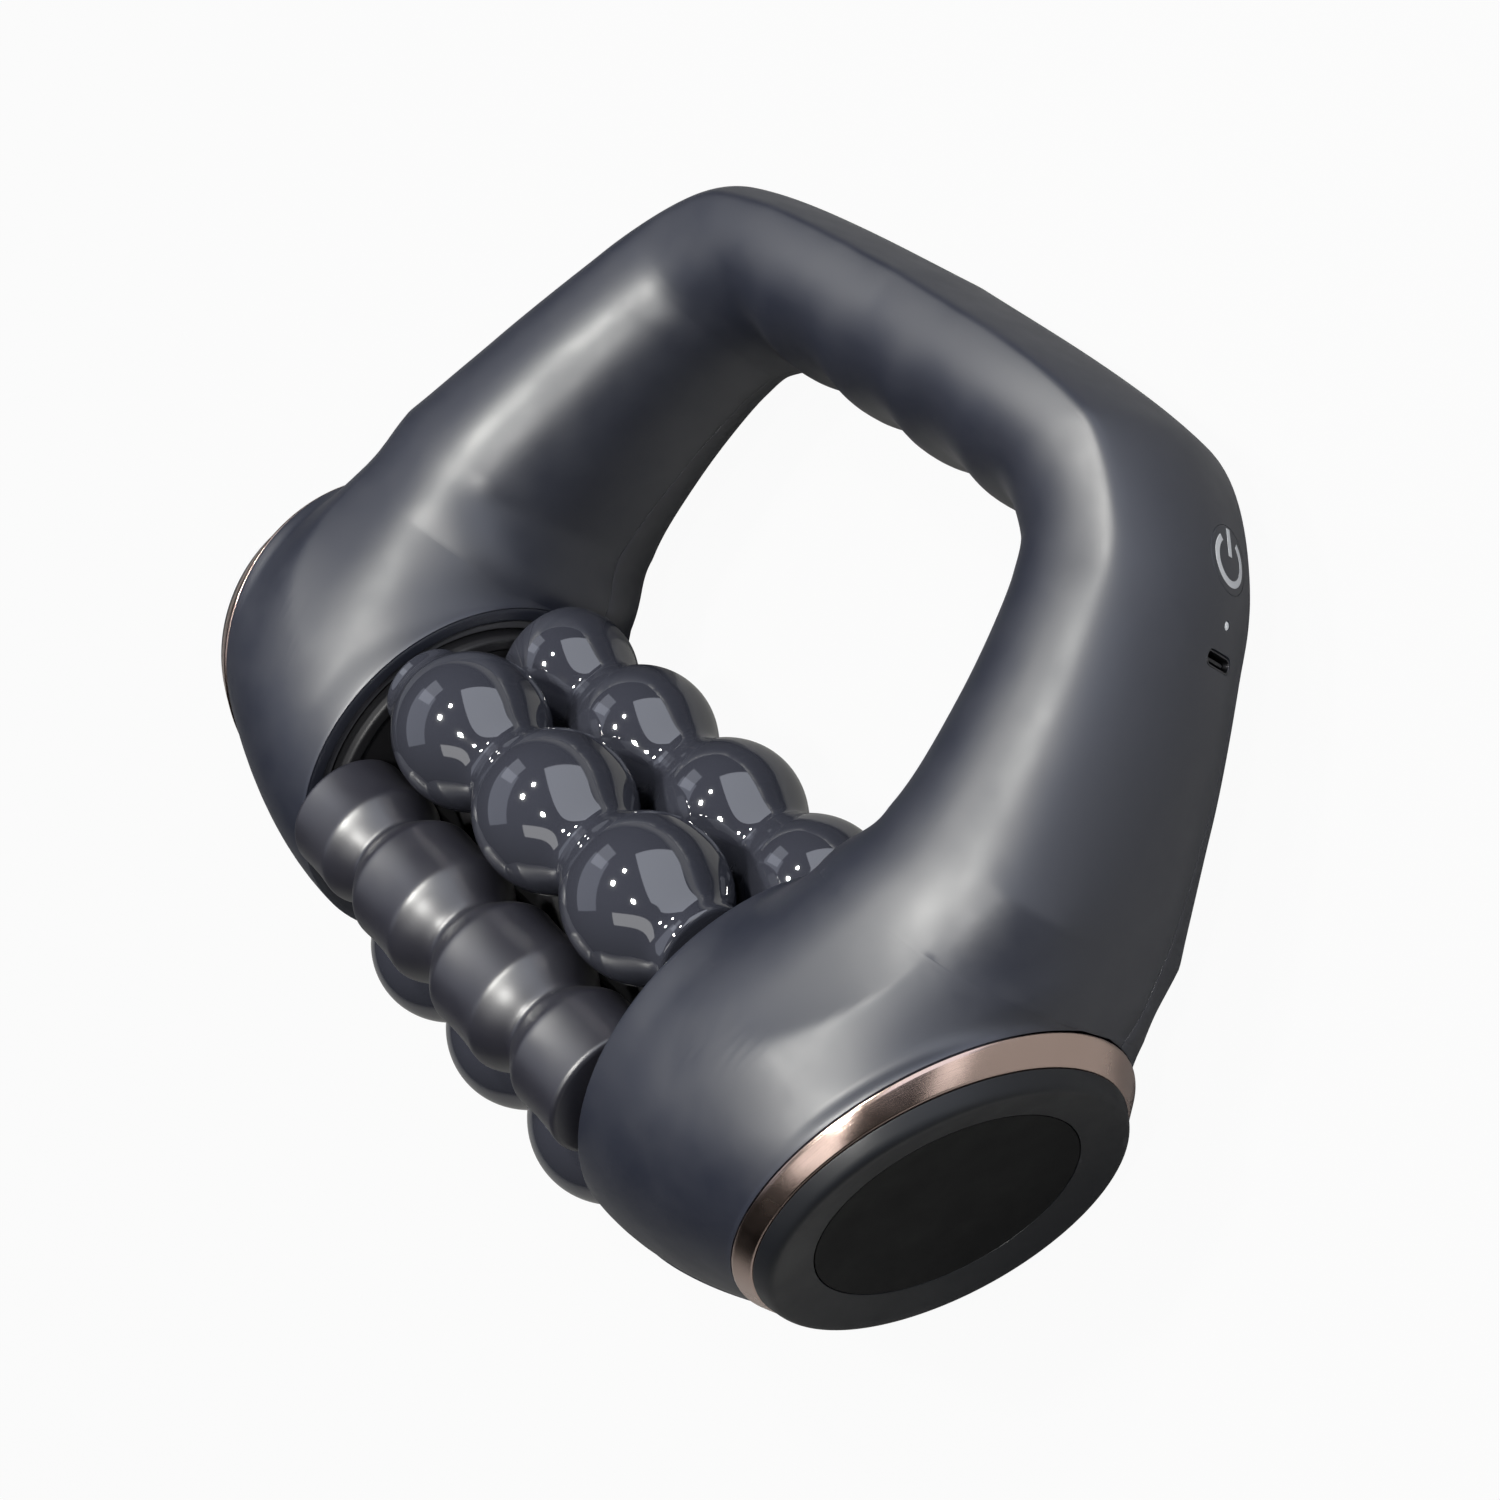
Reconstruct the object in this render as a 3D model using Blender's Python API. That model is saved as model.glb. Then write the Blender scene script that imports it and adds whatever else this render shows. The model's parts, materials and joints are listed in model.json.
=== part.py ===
"""Electric massage roller: a looped handle whose two barrels carry a driven drum of six beaded rollers.

The object is modelled upright: the drum axis is X, the handle rises along Z and -Y is the front.
A root empty then lays it on its back, on one roller and the rear of the grip, as it is put down.
"""

import math

import bmesh
import bpy
import numpy as np
from mathutils import Vector

MM = 0.001

# Clearances and overruns
SEAT_GAP = 0.3 * MM
RUN_GAP = 0.4 * MM
OVERRUN = 2.0 * MM

# Grip bar, above the drum axis
GRIP_TOP = 149.5 * MM
GRIP_THICKNESS = 33.5 * MM
GRIP_UNDERSIDE = GRIP_TOP - GRIP_THICKNESS
GRIP_HALF_DEPTH = 28.4 * MM
SHOULDER_HALF_DEPTH = 27.5 * MM
GROOVE_PITCH = 21.0 * MM
GROOVE_DEPTH = 1.7 * MM

# Handle loop, right half: places of the inner edge, and how wide the housing is outside it
HOLE_TOP_HALF = 51.5 * MM
HOLE_CORNER_WIDTH = 14.3 * MM
HOLE_CORNER_HEIGHT = 12.0 * MM
HOLE_CORNER_shares = (0.336, 0.408)
HOLE_EASING = 29.7 * MM
HOLE_SAG = 0.5 * MM
HOLE_WAIST_HALF = 57.7 * MM
HOLE_WAIST_HEIGHT = 83.5 * MM
HOLE_FOOT_HALF = 60.9 * MM
HOLE_FOOT_HEIGHT = 59.5 * MM
SHOULDER_HALF = 61.4 * MM
SHOULDER_DROP = 4.4 * MM
CORNER_WIDTH = 34.8 * MM
CORNER_DROP = 25.2 * MM
CORNER_HEIGHT = GRIP_TOP - CORNER_DROP
ARM_TOP_WIDTH = 41.7 * MM
ARM_TOP_DROP = 38.4 * MM
ARM_TOP_HEIGHT = GRIP_TOP - ARM_TOP_DROP
ARM_MID_WIDTH = 46.8 * MM
ARM_MID_HEIGHT = 86.0 * MM
ARM_FOOT_WIDTH = 51.0 * MM
ARM_FOOT_HEIGHT = 61.6 * MM
CORNER_HALF_DEPTH = 24.8 * MM
ARM_TOP_HALF_DEPTH = 26.0 * MM
ARM_MID_HALF_DEPTH = 29.6 * MM
ARM_FOOT_HALF_DEPTH = 34.0 * MM
ARM_ROOT_HALF_DEPTH = 36.4 * MM

# Barrels: a round mouth towards the rollers, a tilted oval end outside
MOUTH_HALF = 54.5 * MM
MOUTH_RADIUS = 42.4 * MM
BARREL_CROWN = 2.5 * MM
BARREL_LENGTH = 48.8 * MM
END_HALF = MOUTH_HALF + BARREL_LENGTH
END_HEIGHT = 7.1 * MM
END_RADIUS = 43.8 * MM
END_SQUASH_share = 0.93
END_TILT = math.radians(15.0)
END_LEAN_share = 0.25
END_SLIP = 1.1 * MM

# Housing walls and seam
WALL = 2.6 * MM
END_WALL = 3.6 * MM
SEAM_DEPTH = 11.0 * MM
MOUTH_BORE = 39.0 * MM
MOUTH_BORE_DEPTH = 9.8 * MM
LEDGE_WIDTH = 2.5 * MM
LEDGE_THICKNESS = 2.0 * MM
END_BORE = 36.8 * MM

# Trim ring, end cap and its insert, measured outward from the barrel's end plane
RING_HEIGHT = 4.3 * MM
RING_TOP_RADIUS = 40.0 * MM
RING_BORE = 37.2 * MM
CAP_RADIUS = 39.8 * MM
CAP_TOP_RADIUS = 38.0 * MM
CAP_HEIGHT = 8.0 * MM
CAP_EDGE = 0.9 * MM
CAP_DISH_RADIUS = 28.6 * MM
CAP_DISH_DROP = 1.5 * MM
CAP_RECESS_DROP = 2.2 * MM
CAP_FLOOR = 1.8 * MM
CAP_SPIGOT_REACH = 4.0 * MM
CAP_SPIGOT_WALL = 2.2 * MM
INSERT_RIM = 1.3 * MM
INSERT_DISH = 0.5 * MM
INSERT_FLAT_RADIUS = 20.0 * MM

# Drum
ROLLER_CIRCLE = 32.4 * MM
CARRIER_STANDOUT = 2.9 * MM
ROLLER_HALF = MOUTH_HALF - CARRIER_STANDOUT
BEAD_RADIUS = 17.1 * MM
BEAD_PITCH = 32.5 * MM
MID_BEAD_RADIUS = 16.1 * MM
MID_BEAD_PITCH = 31.5 * MM
END_BEAD_RADIUS = 15.2 * MM
END_BEAD_PITCH = 28.8 * MM
NECK_RADIUS = 10.4 * MM
NECK_POWER = 6
BEAD_POINT_shares = (-0.76, -0.48, 0.0, 0.48, 0.76)
ROLLER_EDGE = 0.8 * MM
AXLE_RADIUS = 2.0 * MM
AXLE_EMBED = 3.6 * MM
CARRIER_RADIUS = 36.3 * MM
CARRIER_THICKNESS = 5.0 * MM
CARRIER_HUB_RADIUS = 14.0 * MM
CARRIER_EDGE = 0.8 * MM
CORE_RADIUS = 12.0 * MM
SHAFT_RADIUS = 5.0 * MM
BEZEL_THICKNESS = 3.2 * MM
BEZEL_INSET = 0.9 * MM
BEARING_RADIUS = 11.0 * MM
BEARING_WIDTH = 5.0 * MM
PLATE_THICKNESS = 3.8 * MM
PLATE_HUB_RADIUS = 15.0 * MM
PLATE_HUB_HEIGHT = 2.0 * MM
PLATE_WEB = 2.4 * MM

# Drive
GEAR_MODULE = 1.25 * MM
GEAR_TEETH = 36
PINION_TEETH = 9
GEAR_WIDTH = 4.0 * MM
TOOTH_HEIGHT_share = 0.8
TOOTH_DEPTH_share = 1.05
TOOTH_ROOT_share = 0.31
TOOTH_TIP_share = 0.11
GEAR_HUB_RADIUS = 8.5 * MM
GEAR_HUB_LENGTH = 1.0 * MM
MOTOR_RADIUS = 10.0 * MM
MOTOR_END_GAP = 5.1 * MM
MOTOR_SHAFT_RADIUS = 1.5 * MM
MOTOR_POCKET_DEPTH = 4.5 * MM
MOTOR_CAN_RADIUS = 9.4 * MM
MOTOR_END_RADIUS = 8.0 * MM
MOTOR_EDGE = 1.2 * MM
GEARBOX_LENGTH = 8.6 * MM
BRACKET_THICKNESS = 1.8 * MM
BRACKET_RADIUS = 33.0 * MM
BRACKET_POST_RADIUS = 2.0 * MM
BRACKET_POST_CIRCLE = 30.0 * MM
BRACKET_BORE = 7.0 * MM
POST_ANGLE_shares = (1 / 12, 5 / 12, 9 / 12)
GEAR_SIDE_GAP = 1.0 * MM

# Power pack in the grip
CELL_RADIUS = 9.15 * MM
CELL_LENGTH = 65.0 * MM
CELL_TIP_RADIUS = 3.0 * MM
CELL_TIP_HEIGHT = 1.2 * MM
TRAY_HALF_WIDTH = 5.5 * MM
TRAY_FOOT_HALF = 1.2 * MM
TRAY_FLARE = 1.4 * MM
TRAY_BASE = 3.2 * MM
TRAY_HALF_LENGTH = 33.0 * MM
TRAY_SPINE_DROP = 4.0 * MM

# Controls on the right shoulder
BUTTON_RISE = 5.2 * MM
BUTTON_HEIGHT = CORNER_HEIGHT + BUTTON_RISE
BUTTON_RADIUS = 6.6 * MM
BUTTON_THICKNESS = 2.2 * MM
BUTTON_STEM_RADIUS = 1.8 * MM
BUTTON_TRAVEL = 0.8 * MM
LIGHT_DROP = 10.2 * MM
LIGHT_HEIGHT = BUTTON_HEIGHT - LIGHT_DROP
LIGHT_RADIUS = 0.9 * MM
SOCKET_DROP = 16.3 * MM
SOCKET_HEIGHT = BUTTON_HEIGHT - SOCKET_DROP
SOCKET_LENGTH = 8.9 * MM
SOCKET_WIDTH = 3.2 * MM
SOCKET_DEPTH = 7.2 * MM
SOCKET_WALL = 0.4 * MM
SOCKET_MOUTH_DEPTH = 5.6 * MM
TONGUE_LENGTH = 6.0 * MM
TONGUE_WIDTH = 0.7 * MM
TONGUE_HEIGHT = 4.8 * MM
TONGUE_ROOT = 0.5 * MM
BOARD_LENGTH = 32.0 * MM
BOARD_WIDTH = 20.0 * MM
BOARD_THICKNESS = 1.6 * MM
SWITCH_SIDE = 6.0 * MM
SWITCH_HEIGHT = 3.4 * MM
SWITCH_BODY_HEIGHT = 2.4 * MM
PLUNGER_RADIUS = 1.5 * MM

# Case screws
POST_RADIUS = 3.4 * MM
REAR_POST_RADIUS = 4.6 * MM
POST_SINK = 2.3 * MM
SCREW_RADIUS = 1.4 * MM
SCREW_LENGTH = 18.0 * MM
SCREW_HEAD_RADIUS = 2.8 * MM
SCREW_HEAD_HEIGHT = 1.8 * MM
SCREW_HEAD_SINK = 4.5 * MM
SCREW_EDGE = 0.6 * MM
SCREW_RECESS_RADIUS = 0.8 * MM
SCREW_BARREL_DROP = 9.0 * MM
SCREW_CORNER_shares = (0.265, 0.305)
SCREW_ARM_share = 0.54
SCREW_BARREL_share = 0.625

# Facets
ROUND_STEPS = 16
ROLLER_STEPS = 14
SMALL_STEPS = 8
SKIN_SIDES = 20
CAVITY_SIDES = 14
END_STEPS = 22
SLOT_STEPS = 6
TRAY_STEPS = 12
GROOVE_SPLIT = 4
SKIN_ROWS = (2, 9, 7, 10)
CAVITY_ROWS = (2, 6, 3, 7)
PROBE_ROWS = 240
PROBE_SIDES = 60
WALL_ROWS = 2000

# Stations round the loop: 0 the grip's middle, 2 its end, 5 the arm, 7 the barrel's top, 9 its foot
GRIP_END_share = 2
ARM_MIDDLE_share = 5
BARREL_TOP_share = 7
BARREL_MIDDLE_share = 8
LAST_STATION_share = 9
FOOT_shares = (0.01, 0.07)

# How the loop's cross-section changes from the grip's middle to the barrel's foot
CREST_shares = (0.2, 0.2, 0.16, 0.1, 0.06, 0.02, 0.0, 0.0, 0.0, 0.0)
CREST_POWER = 2.3
FALL_shares = (0.12, 0.12, 0.12, 0.1, 0.08, 0.06, 0.05, 0.05, 0.05, 0.05)
RIDGE_shares = (0.64, 0.65, 0.61, 0.5, 0.45, 0.39, 0.39, 0.48, 0.3, 0.26)
RIDGE_DEPTH_shares = (0.89, 0.89, 0.89, 0.96, 1.0, 1.035, 1.045, 1.02, 1.02, 1.02)
RIDGE_POWER_shares = (60, 60, 55, 34, 20, 15, 13, 12, 12, 12)
OUTER_POWER_shares = (1.9, 2.0, 2.2, 2.17, 2.07, 2.1, 2.55, 3.4, 2.6, 2.6)
OUTER_COLUMN_share = 3 / 8
BARREL_FACE_share = 0.994
BLEND_POWER = 4.5
ARM_FADE_shares = (1.005, 0.85, 0.55, 0.22)
FADE_PLACE_shares = (7.25, 7.6, 8.0, 8.5)


def clear_scene():
    """Empty the file that the script runs in."""
    for item in list(bpy.data.objects):
        bpy.data.objects.remove(item, do_unlink=True)


def make_material(name, colour, roughness, metallic):
    """A plain Principled material."""
    material = bpy.data.materials.new(name)
    material.use_nodes = True
    shader = material.node_tree.nodes["Principled BSDF"]
    shader.inputs["Base Color"].default_value = (*colour, 1.0)
    shader.inputs["Roughness"].default_value = roughness
    shader.inputs["Metallic"].default_value = metallic
    material.diffuse_color = (*colour, 1.0)
    return material


def add_mesh(name, points, faces, material, parent, location=(0, 0, 0), rotation=(0, 0, 0)):
    """An object from points and faces, its normals facing out."""
    mesh = bpy.data.meshes.new(name)
    corners = [tuple(map(float, point)) for point in points]
    mesh.from_pydata(corners, [], [tuple(map(int, face)) for face in faces])
    shape = bmesh.new()
    shape.from_mesh(mesh)
    bmesh.ops.recalc_face_normals(shape, faces=shape.faces)
    shape.to_mesh(mesh)
    shape.free()
    mesh.shade_smooth()
    mesh.set_sharp_from_angle(angle=math.radians(35.0))
    mesh.materials.append(material)
    item = bpy.data.objects.new(name, mesh)
    bpy.context.scene.collection.objects.link(item)
    item.parent = parent
    item.location = location
    item.rotation_euler = rotation
    return item


def hide_cutter(item):
    """Mark a helper solid so that only its cut is seen."""
    item.hide_render = True
    item.display_type = "WIRE"
    return item


def combine(item, other, operation):
    """Apply one Boolean to the item's mesh and drop the helper."""
    modifier = item.modifiers.new(operation.lower(), "BOOLEAN")
    modifier.operation = operation
    modifier.solver = "MANIFOLD"
    modifier.object = other
    bpy.context.view_layer.update()
    graph = bpy.context.evaluated_depsgraph_get()
    result = bpy.data.meshes.new_from_object(item.evaluated_get(graph))
    item.modifiers.clear()
    old = item.data
    item.data = result
    bpy.data.meshes.remove(old)
    bpy.data.objects.remove(other, do_unlink=True)
    return item


def cut(item, *cutters):
    """Take each cutter away from the item."""
    for cutter in cutters:
        combine(item, hide_cutter(cutter), "DIFFERENCE")
    return item


def join(item, *others):
    """Fuse each solid with the item."""
    for other in others:
        combine(item, hide_cutter(other), "UNION")
    return item


def turned(name, profile, material, parent, steps=ROUND_STEPS, squash=1.0, **place):
    """A closed profile of (along X, radius) points turned about X. Points at radius zero become poles."""
    profile = [(float(along), float(radius)) for along, radius in profile]
    angles = [math.tau * step / steps for step in range(steps)]
    points = []
    rings = []
    for along, radius in profile:
        if radius == 0:
            rings.append([len(points)] * steps)
            points.append((along, 0, 0))
            continue
        rings.append(list(range(len(points), len(points) + steps)))
        points.extend((along, radius * math.cos(a), radius * math.sin(a) * squash) for a in angles)
    faces = []
    for first, second in zip(rings, rings[1:] + rings[:1]):
        for step in range(steps):
            after = (step + 1) % steps
            corners = [first[step], first[after], second[after], second[step]]
            face = list(dict.fromkeys(corners))
            if len(face) > 2:
                faces.append(face)
    return add_mesh(name, points, faces, material, parent, **place)


def rod(name, start, end, radius, material, parent, steps=ROUND_STEPS, **place):
    """A solid cylinder along X."""
    profile = [(start, 0), (start, radius), (end, radius), (end, 0)]
    return turned(name, profile, material, parent, steps, **place)


def tube(name, start, end, inner, outer, material, parent, steps=ROUND_STEPS, edge=0.0, **place):
    """A hollow cylinder along X, its outer edges chamfered."""
    profile = [(start, inner), (start, outer - edge)]
    if edge:
        profile += [(start + edge, outer), (end - edge, outer)]
    profile += [(end, outer - edge), (end, inner)]
    return turned(name, profile, material, parent, steps, **place)


def extruded(name, outline, start, end, material, parent, **place):
    """A solid along X with the given (y, z) outline."""
    count = len(outline)
    points = [(x, y, z) for x in (start, end) for y, z in outline]
    sides = [(i, (i + 1) % count, (i + 1) % count + count, i + count) for i in range(count)]
    faces = [*sides, tuple(range(count)), tuple(range(count, 2 * count))]
    return add_mesh(name, points, faces, material, parent, **place)


def slab(name, size, material, parent, **place):
    """A box about its own centre."""
    shape = bmesh.new()
    bmesh.ops.create_cube(shape, size=1.0)
    bmesh.ops.scale(shape, vec=size, verts=shape.verts)
    points = [vertex.co.copy() for vertex in shape.verts]
    faces = [[vertex.index for vertex in face.verts] for face in shape.faces]
    shape.free()
    return add_mesh(name, points, faces, material, parent, **place)


def smooth_through(shares, values, wanted):
    """Values along a smooth curve through the given stations, without overshoot."""
    shares = np.asarray(shares, float)
    values = np.asarray(values, float)
    steps = np.diff(shares)
    slopes = np.diff(values) / steps
    ends = np.zeros(len(values))
    same = slopes[:-1] * slopes[1:] > 0
    mean = 2 * slopes[:-1] * slopes[1:] / np.where(same, slopes[:-1] + slopes[1:], 1.0)
    ends[1:-1] = np.where(same, mean, 0.0)
    ends[0] = slopes[0] * (values[0] != values[1])
    ends[-1] = slopes[-1]
    place = np.clip(np.searchsorted(shares, wanted, side="right") - 1, 0, len(steps) - 1)
    t = (wanted - shares[place]) / steps[place]
    h = steps[place]
    return (
        values[place] * (1 + 2 * t) * (1 - t) ** 2
        + ends[place] * h * t * (1 - t) ** 2
        + values[place + 1] * t * t * (3 - 2 * t)
        + ends[place + 1] * h * t * t * (t - 1)
    )


def end_plane_half(height):
    """How far out the tilted end plane of a barrel lies at this height."""
    return END_HALF + (height - END_HEIGHT) * math.tan(END_TILT)


def end_reach():
    """Half of the oval end's height, measured upright."""
    return END_RADIUS * END_SQUASH_share * math.cos(END_TILT)


def loop_edges(place, inset=0.0):
    """Inner and outer edge of the right half of the loop at stations 0 (grip middle) to 9 (barrel foot)."""
    corner_across, corner_down = HOLE_CORNER_shares
    hole_top = GRIP_UNDERSIDE + GROOVE_DEPTH
    end_top = END_HEIGHT + end_reach()
    end_foot = END_HEIGHT - end_reach()
    stations = range(LAST_STATION_share + 1)
    inner_x = (
        0.0,
        HOLE_TOP_HALF - HOLE_EASING,
        HOLE_TOP_HALF - HOLE_CORNER_WIDTH,
        HOLE_TOP_HALF - corner_across * HOLE_CORNER_WIDTH,
        HOLE_TOP_HALF,
        HOLE_WAIST_HALF,
        HOLE_FOOT_HALF,
        MOUTH_HALF,
        MOUTH_HALF,
        MOUTH_HALF,
    )
    inner_z = (
        hole_top,
        hole_top,
        hole_top - HOLE_SAG,
        hole_top - corner_down * HOLE_CORNER_HEIGHT,
        hole_top - HOLE_CORNER_HEIGHT,
        HOLE_WAIST_HEIGHT,
        HOLE_FOOT_HEIGHT,
        MOUTH_RADIUS,
        0.0,
        -MOUTH_RADIUS,
    )
    outer_x = (
        0.0,
        SHOULDER_HALF / 2,
        SHOULDER_HALF,
        HOLE_TOP_HALF + CORNER_WIDTH,
        HOLE_TOP_HALF + ARM_TOP_WIDTH,
        HOLE_WAIST_HALF + ARM_MID_WIDTH,
        HOLE_FOOT_HALF + ARM_FOOT_WIDTH,
        end_plane_half(end_top),
        end_plane_half(END_HEIGHT),
        end_plane_half(end_foot),
    )
    outer_z = (
        GRIP_TOP,
        GRIP_TOP - SHOULDER_DROP / 4,
        GRIP_TOP - SHOULDER_DROP,
        CORNER_HEIGHT,
        ARM_TOP_HEIGHT,
        ARM_MID_HEIGHT,
        ARM_FOOT_HEIGHT,
        end_top,
        END_HEIGHT,
        end_foot,
    )
    inner = np.stack([smooth_through(stations, values, place) for values in (inner_x, inner_z)], -1)
    outer = np.stack([smooth_through(stations, values, place) for values in (outer_x, outer_z)], -1)
    outer[..., 0] = np.where(place >= BARREL_TOP_share, end_plane_half(outer[..., 1]), outer[..., 0])
    across = outer - inner
    across /= np.linalg.norm(across, axis=-1, keepdims=True)
    in_barrel = np.clip(place - BARREL_TOP_share + 1, 0, 1)[..., None]
    mouth_wall = (MOUTH_BORE_DEPTH + LEDGE_THICKNESS) * (inset > 0)
    inner_wall = inset * (1 - in_barrel) + mouth_wall * in_barrel
    outer_wall = inset + (END_WALL - WALL) * (inset > 0) * in_barrel
    return inner + across * inner_wall, outer - across * outer_wall


def barrel_depth(x, z, inset=0.0):
    """Half-depth of the barrel alone at a place in the mid-plane."""
    along = np.clip((x - MOUTH_HALF) / (end_plane_half(z) - MOUTH_HALF), 0, 1)
    crown = BARREL_CROWN * 4 * along * (1 - along)
    depth = MOUTH_RADIUS * (1 - along) + END_RADIUS * along + crown - inset
    reach = MOUTH_RADIUS * (1 - along) + end_reach() * along + crown - inset
    height = (z - END_HEIGHT * along) / reach
    return depth * np.sqrt(np.clip(1 - height * height, 0, 1))


def section_columns(place, sides):
    """Places across the section, -1 at the inner edge and 1 at the outer, with a column along the ridge."""
    ridge = smooth_through(range(LAST_STATION_share + 1), RIDGE_shares, place)[:, None]
    half = sides // 2
    outer = round(half * OUTER_COLUMN_share)
    rise = np.linspace(0, math.pi / 2, half - outer + 1)
    fall = np.linspace(0, math.pi / 2, outer + 1)[1:]
    arm = np.hstack([ridge - (1 + ridge) * np.cos(rise), ridge + (1 - ridge) * np.sin(fall)])
    cosine = np.cos(np.linspace(0, math.pi, half + 1))
    second = math.cos(math.pi / half)
    barrel = -np.sign(cosine) * np.interp(np.abs(cosine), (0, second, 1), (0, BARREL_FACE_share, 1))
    in_barrel = np.clip(place - BARREL_TOP_share + 1, 0, 1)[:, None]
    return arm * (1 - in_barrel) + barrel * in_barrel


def section_profile(across, place):
    """Share of the half-depth: a crowned front face and a steeper outer face that meet in a ridge."""
    stations = range(LAST_STATION_share + 1)
    crests = (CREST_shares, FALL_shares)
    ridges = (RIDGE_shares, RIDGE_DEPTH_shares, RIDGE_POWER_shares, OUTER_POWER_shares)
    columns = [smooth_through(stations, table, place)[:, None] for table in crests + ridges]
    crest, fall, ridge, ridge_depth, ridge_power, outer_power = columns
    rise = np.clip((crest - across) / (1 + crest), 0, 1)
    past = np.clip((across - crest) / (1 - crest), 0, 1)
    front = (1 - rise**CREST_POWER) ** (1 / CREST_POWER) * (1 - fall * past**2)
    outer = ridge_depth * (np.clip(1 - across, 0, None) / (1 - ridge)) ** (1 / outer_power)
    low = np.minimum(front, outer)
    high = np.maximum(front, outer)
    return low * (1 + (low / high) ** ridge_power) ** (-1 / ridge_power)


def skin_points(places, sides, inset=0.0, grooves=True):
    """Closed sections of the right half of the housing, as an array of (station, side, xyz)."""
    places = np.asarray(places, float)
    inner, outer = loop_edges(places, inset)
    if grooves:
        in_grip = np.clip(GRIP_END_share + 2 - places, 0, 1)
        wave = np.abs(np.cos(math.pi * inner[:, 0] / GROOVE_PITCH)) - 1
        inner[:, 1] += GROOVE_DEPTH * wave * in_grip
    stations = range(LAST_STATION_share + 1)
    depths = (
        GRIP_HALF_DEPTH,
        GRIP_HALF_DEPTH,
        SHOULDER_HALF_DEPTH,
        CORNER_HALF_DEPTH,
        ARM_TOP_HALF_DEPTH,
        ARM_MID_HALF_DEPTH,
        ARM_FOOT_HALF_DEPTH,
        ARM_ROOT_HALF_DEPTH,
    )
    fades = [ARM_ROOT_HALF_DEPTH * share for share in ARM_FADE_shares]
    arm_stations = (*stations[: len(depths)], *FADE_PLACE_shares)
    reached = np.minimum(places, FADE_PLACE_shares[-1])
    arm = np.maximum(smooth_through(arm_stations, (*depths, *fades), reached) - inset, 0)
    across = section_columns(places, sides)
    half = (across + 1) / 2
    plane = inner[:, None, :] * (1 - half[..., None]) + outer[:, None, :] * half[..., None]
    body = arm[:, None] * section_profile(across, places)
    barrel = barrel_depth(plane[..., 0], plane[..., 1], inset)
    depth = (body**BLEND_POWER + barrel**BLEND_POWER) ** (1 / BLEND_POWER)
    depth[:, [0, -1]] = 0
    front = np.stack([plane[..., 0], -depth, plane[..., 1]], -1)
    rear = front[:, -2:0:-1] * np.array([1, -1, 1])
    return np.concatenate([front, rear], axis=1)


def skin_solid(name, places, sides, material, parent, inset=0.0, grooves=True):
    """The loop as one closed tube from the left barrel's foot over the grip to the right barrel's foot."""
    right = skin_points(places, sides, inset, grooves)
    left = right[:0:-1] * np.array([-1, 1, 1])
    rings = np.concatenate([left, right])
    count = len(rings)
    points = rings.reshape(-1, 3)
    index = np.arange(count * sides).reshape(count, sides)
    after = np.roll(index, -1, axis=1)
    walls = np.stack([index[:-1], after[:-1], after[1:], index[1:]], -1).reshape(-1, 4)
    ends = [list(index[0]), list(index[-1])]
    return add_mesh(name, points, [*walls.tolist(), *ends], material, parent)


def spread_places(rows, foot_share):
    """Stations from the grip's middle to the barrel's foot, with so many rows in each stretch."""
    grip, bend, arm, barrel = rows
    lower = BARREL_MIDDLE_share - np.cos(np.linspace(0, math.pi, barrel + 1))
    lower[-1] -= foot_share
    stretches = [
        np.linspace(0, GRIP_END_share, grip, endpoint=False),
        np.linspace(GRIP_END_share, ARM_MIDDLE_share, bend, endpoint=False),
        np.linspace(ARM_MIDDLE_share, BARREL_TOP_share, arm, endpoint=False),
        lower,
    ]
    return np.concatenate(stretches)


def outer_places():
    """Stations of the outer skin, close enough along the grip to show its finger grooves."""
    table = np.linspace(0, GRIP_END_share, PROBE_ROWS)
    inner, _ = loop_edges(table)
    grooves = np.arange(0, inner[-1, 0], GROOVE_PITCH / GROOVE_SPLIT)
    grip = np.interp(grooves, inner[:, 0], table)
    places = spread_places(SKIN_ROWS, FOOT_shares[0])
    return np.concatenate([grip, places[places >= GRIP_END_share]])


def cavity_places():
    """Stations of the hollow inside the housing."""
    return spread_places(CAVITY_ROWS, FOOT_shares[1])


def end_frame(side):
    """Location and rotation of a barrel's end plane."""
    return {"location": (side * END_HALF, 0, END_HEIGHT), "rotation": (0, side * END_TILT, 0)}


def lean_down(item, side):
    """Let an end piece's sections slip down its oval, the more the further out they lie."""
    for vertex in item.data.vertices:
        outward = max(side * vertex.co.x, 0)
        vertex.co.z -= min(END_LEAN_share * outward, END_SLIP)
    return item


def housing_blank(material, parent):
    """The whole housing, hollow, with both mouths and both ends open."""
    blank = skin_solid("blank", outer_places(), SKIN_SIDES, material, parent)
    cavity = skin_solid("cavity", cavity_places(), CAVITY_SIDES, material, parent, WALL, False)
    cut(blank, cavity)
    for side in (-1, 1):
        start = side * (MOUTH_HALF - OVERRUN)
        ledge = side * (MOUTH_HALF + MOUTH_BORE_DEPTH)
        end = ledge + side * (LEDGE_THICKNESS + OVERRUN)
        inner = MOUTH_BORE - LEDGE_WIDTH
        profile = [
            (start, 0),
            (start, MOUTH_BORE),
            (ledge, MOUTH_BORE),
            (ledge, inner),
            (end, inner),
            (end, 0),
        ]
        cut(blank, turned("mouth_bore", profile, material, parent, END_STEPS))
        squash = {"squash": END_SQUASH_share}
        outside = side * OVERRUN
        inside = -side * (END_WALL + OVERRUN)
        profile = [(outside, 0), (outside, END_BORE), (inside, END_BORE), (inside, 0)]
        cut(blank, turned("end_bore", profile, material, parent, END_STEPS, **squash, **end_frame(side)))
    return blank


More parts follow.
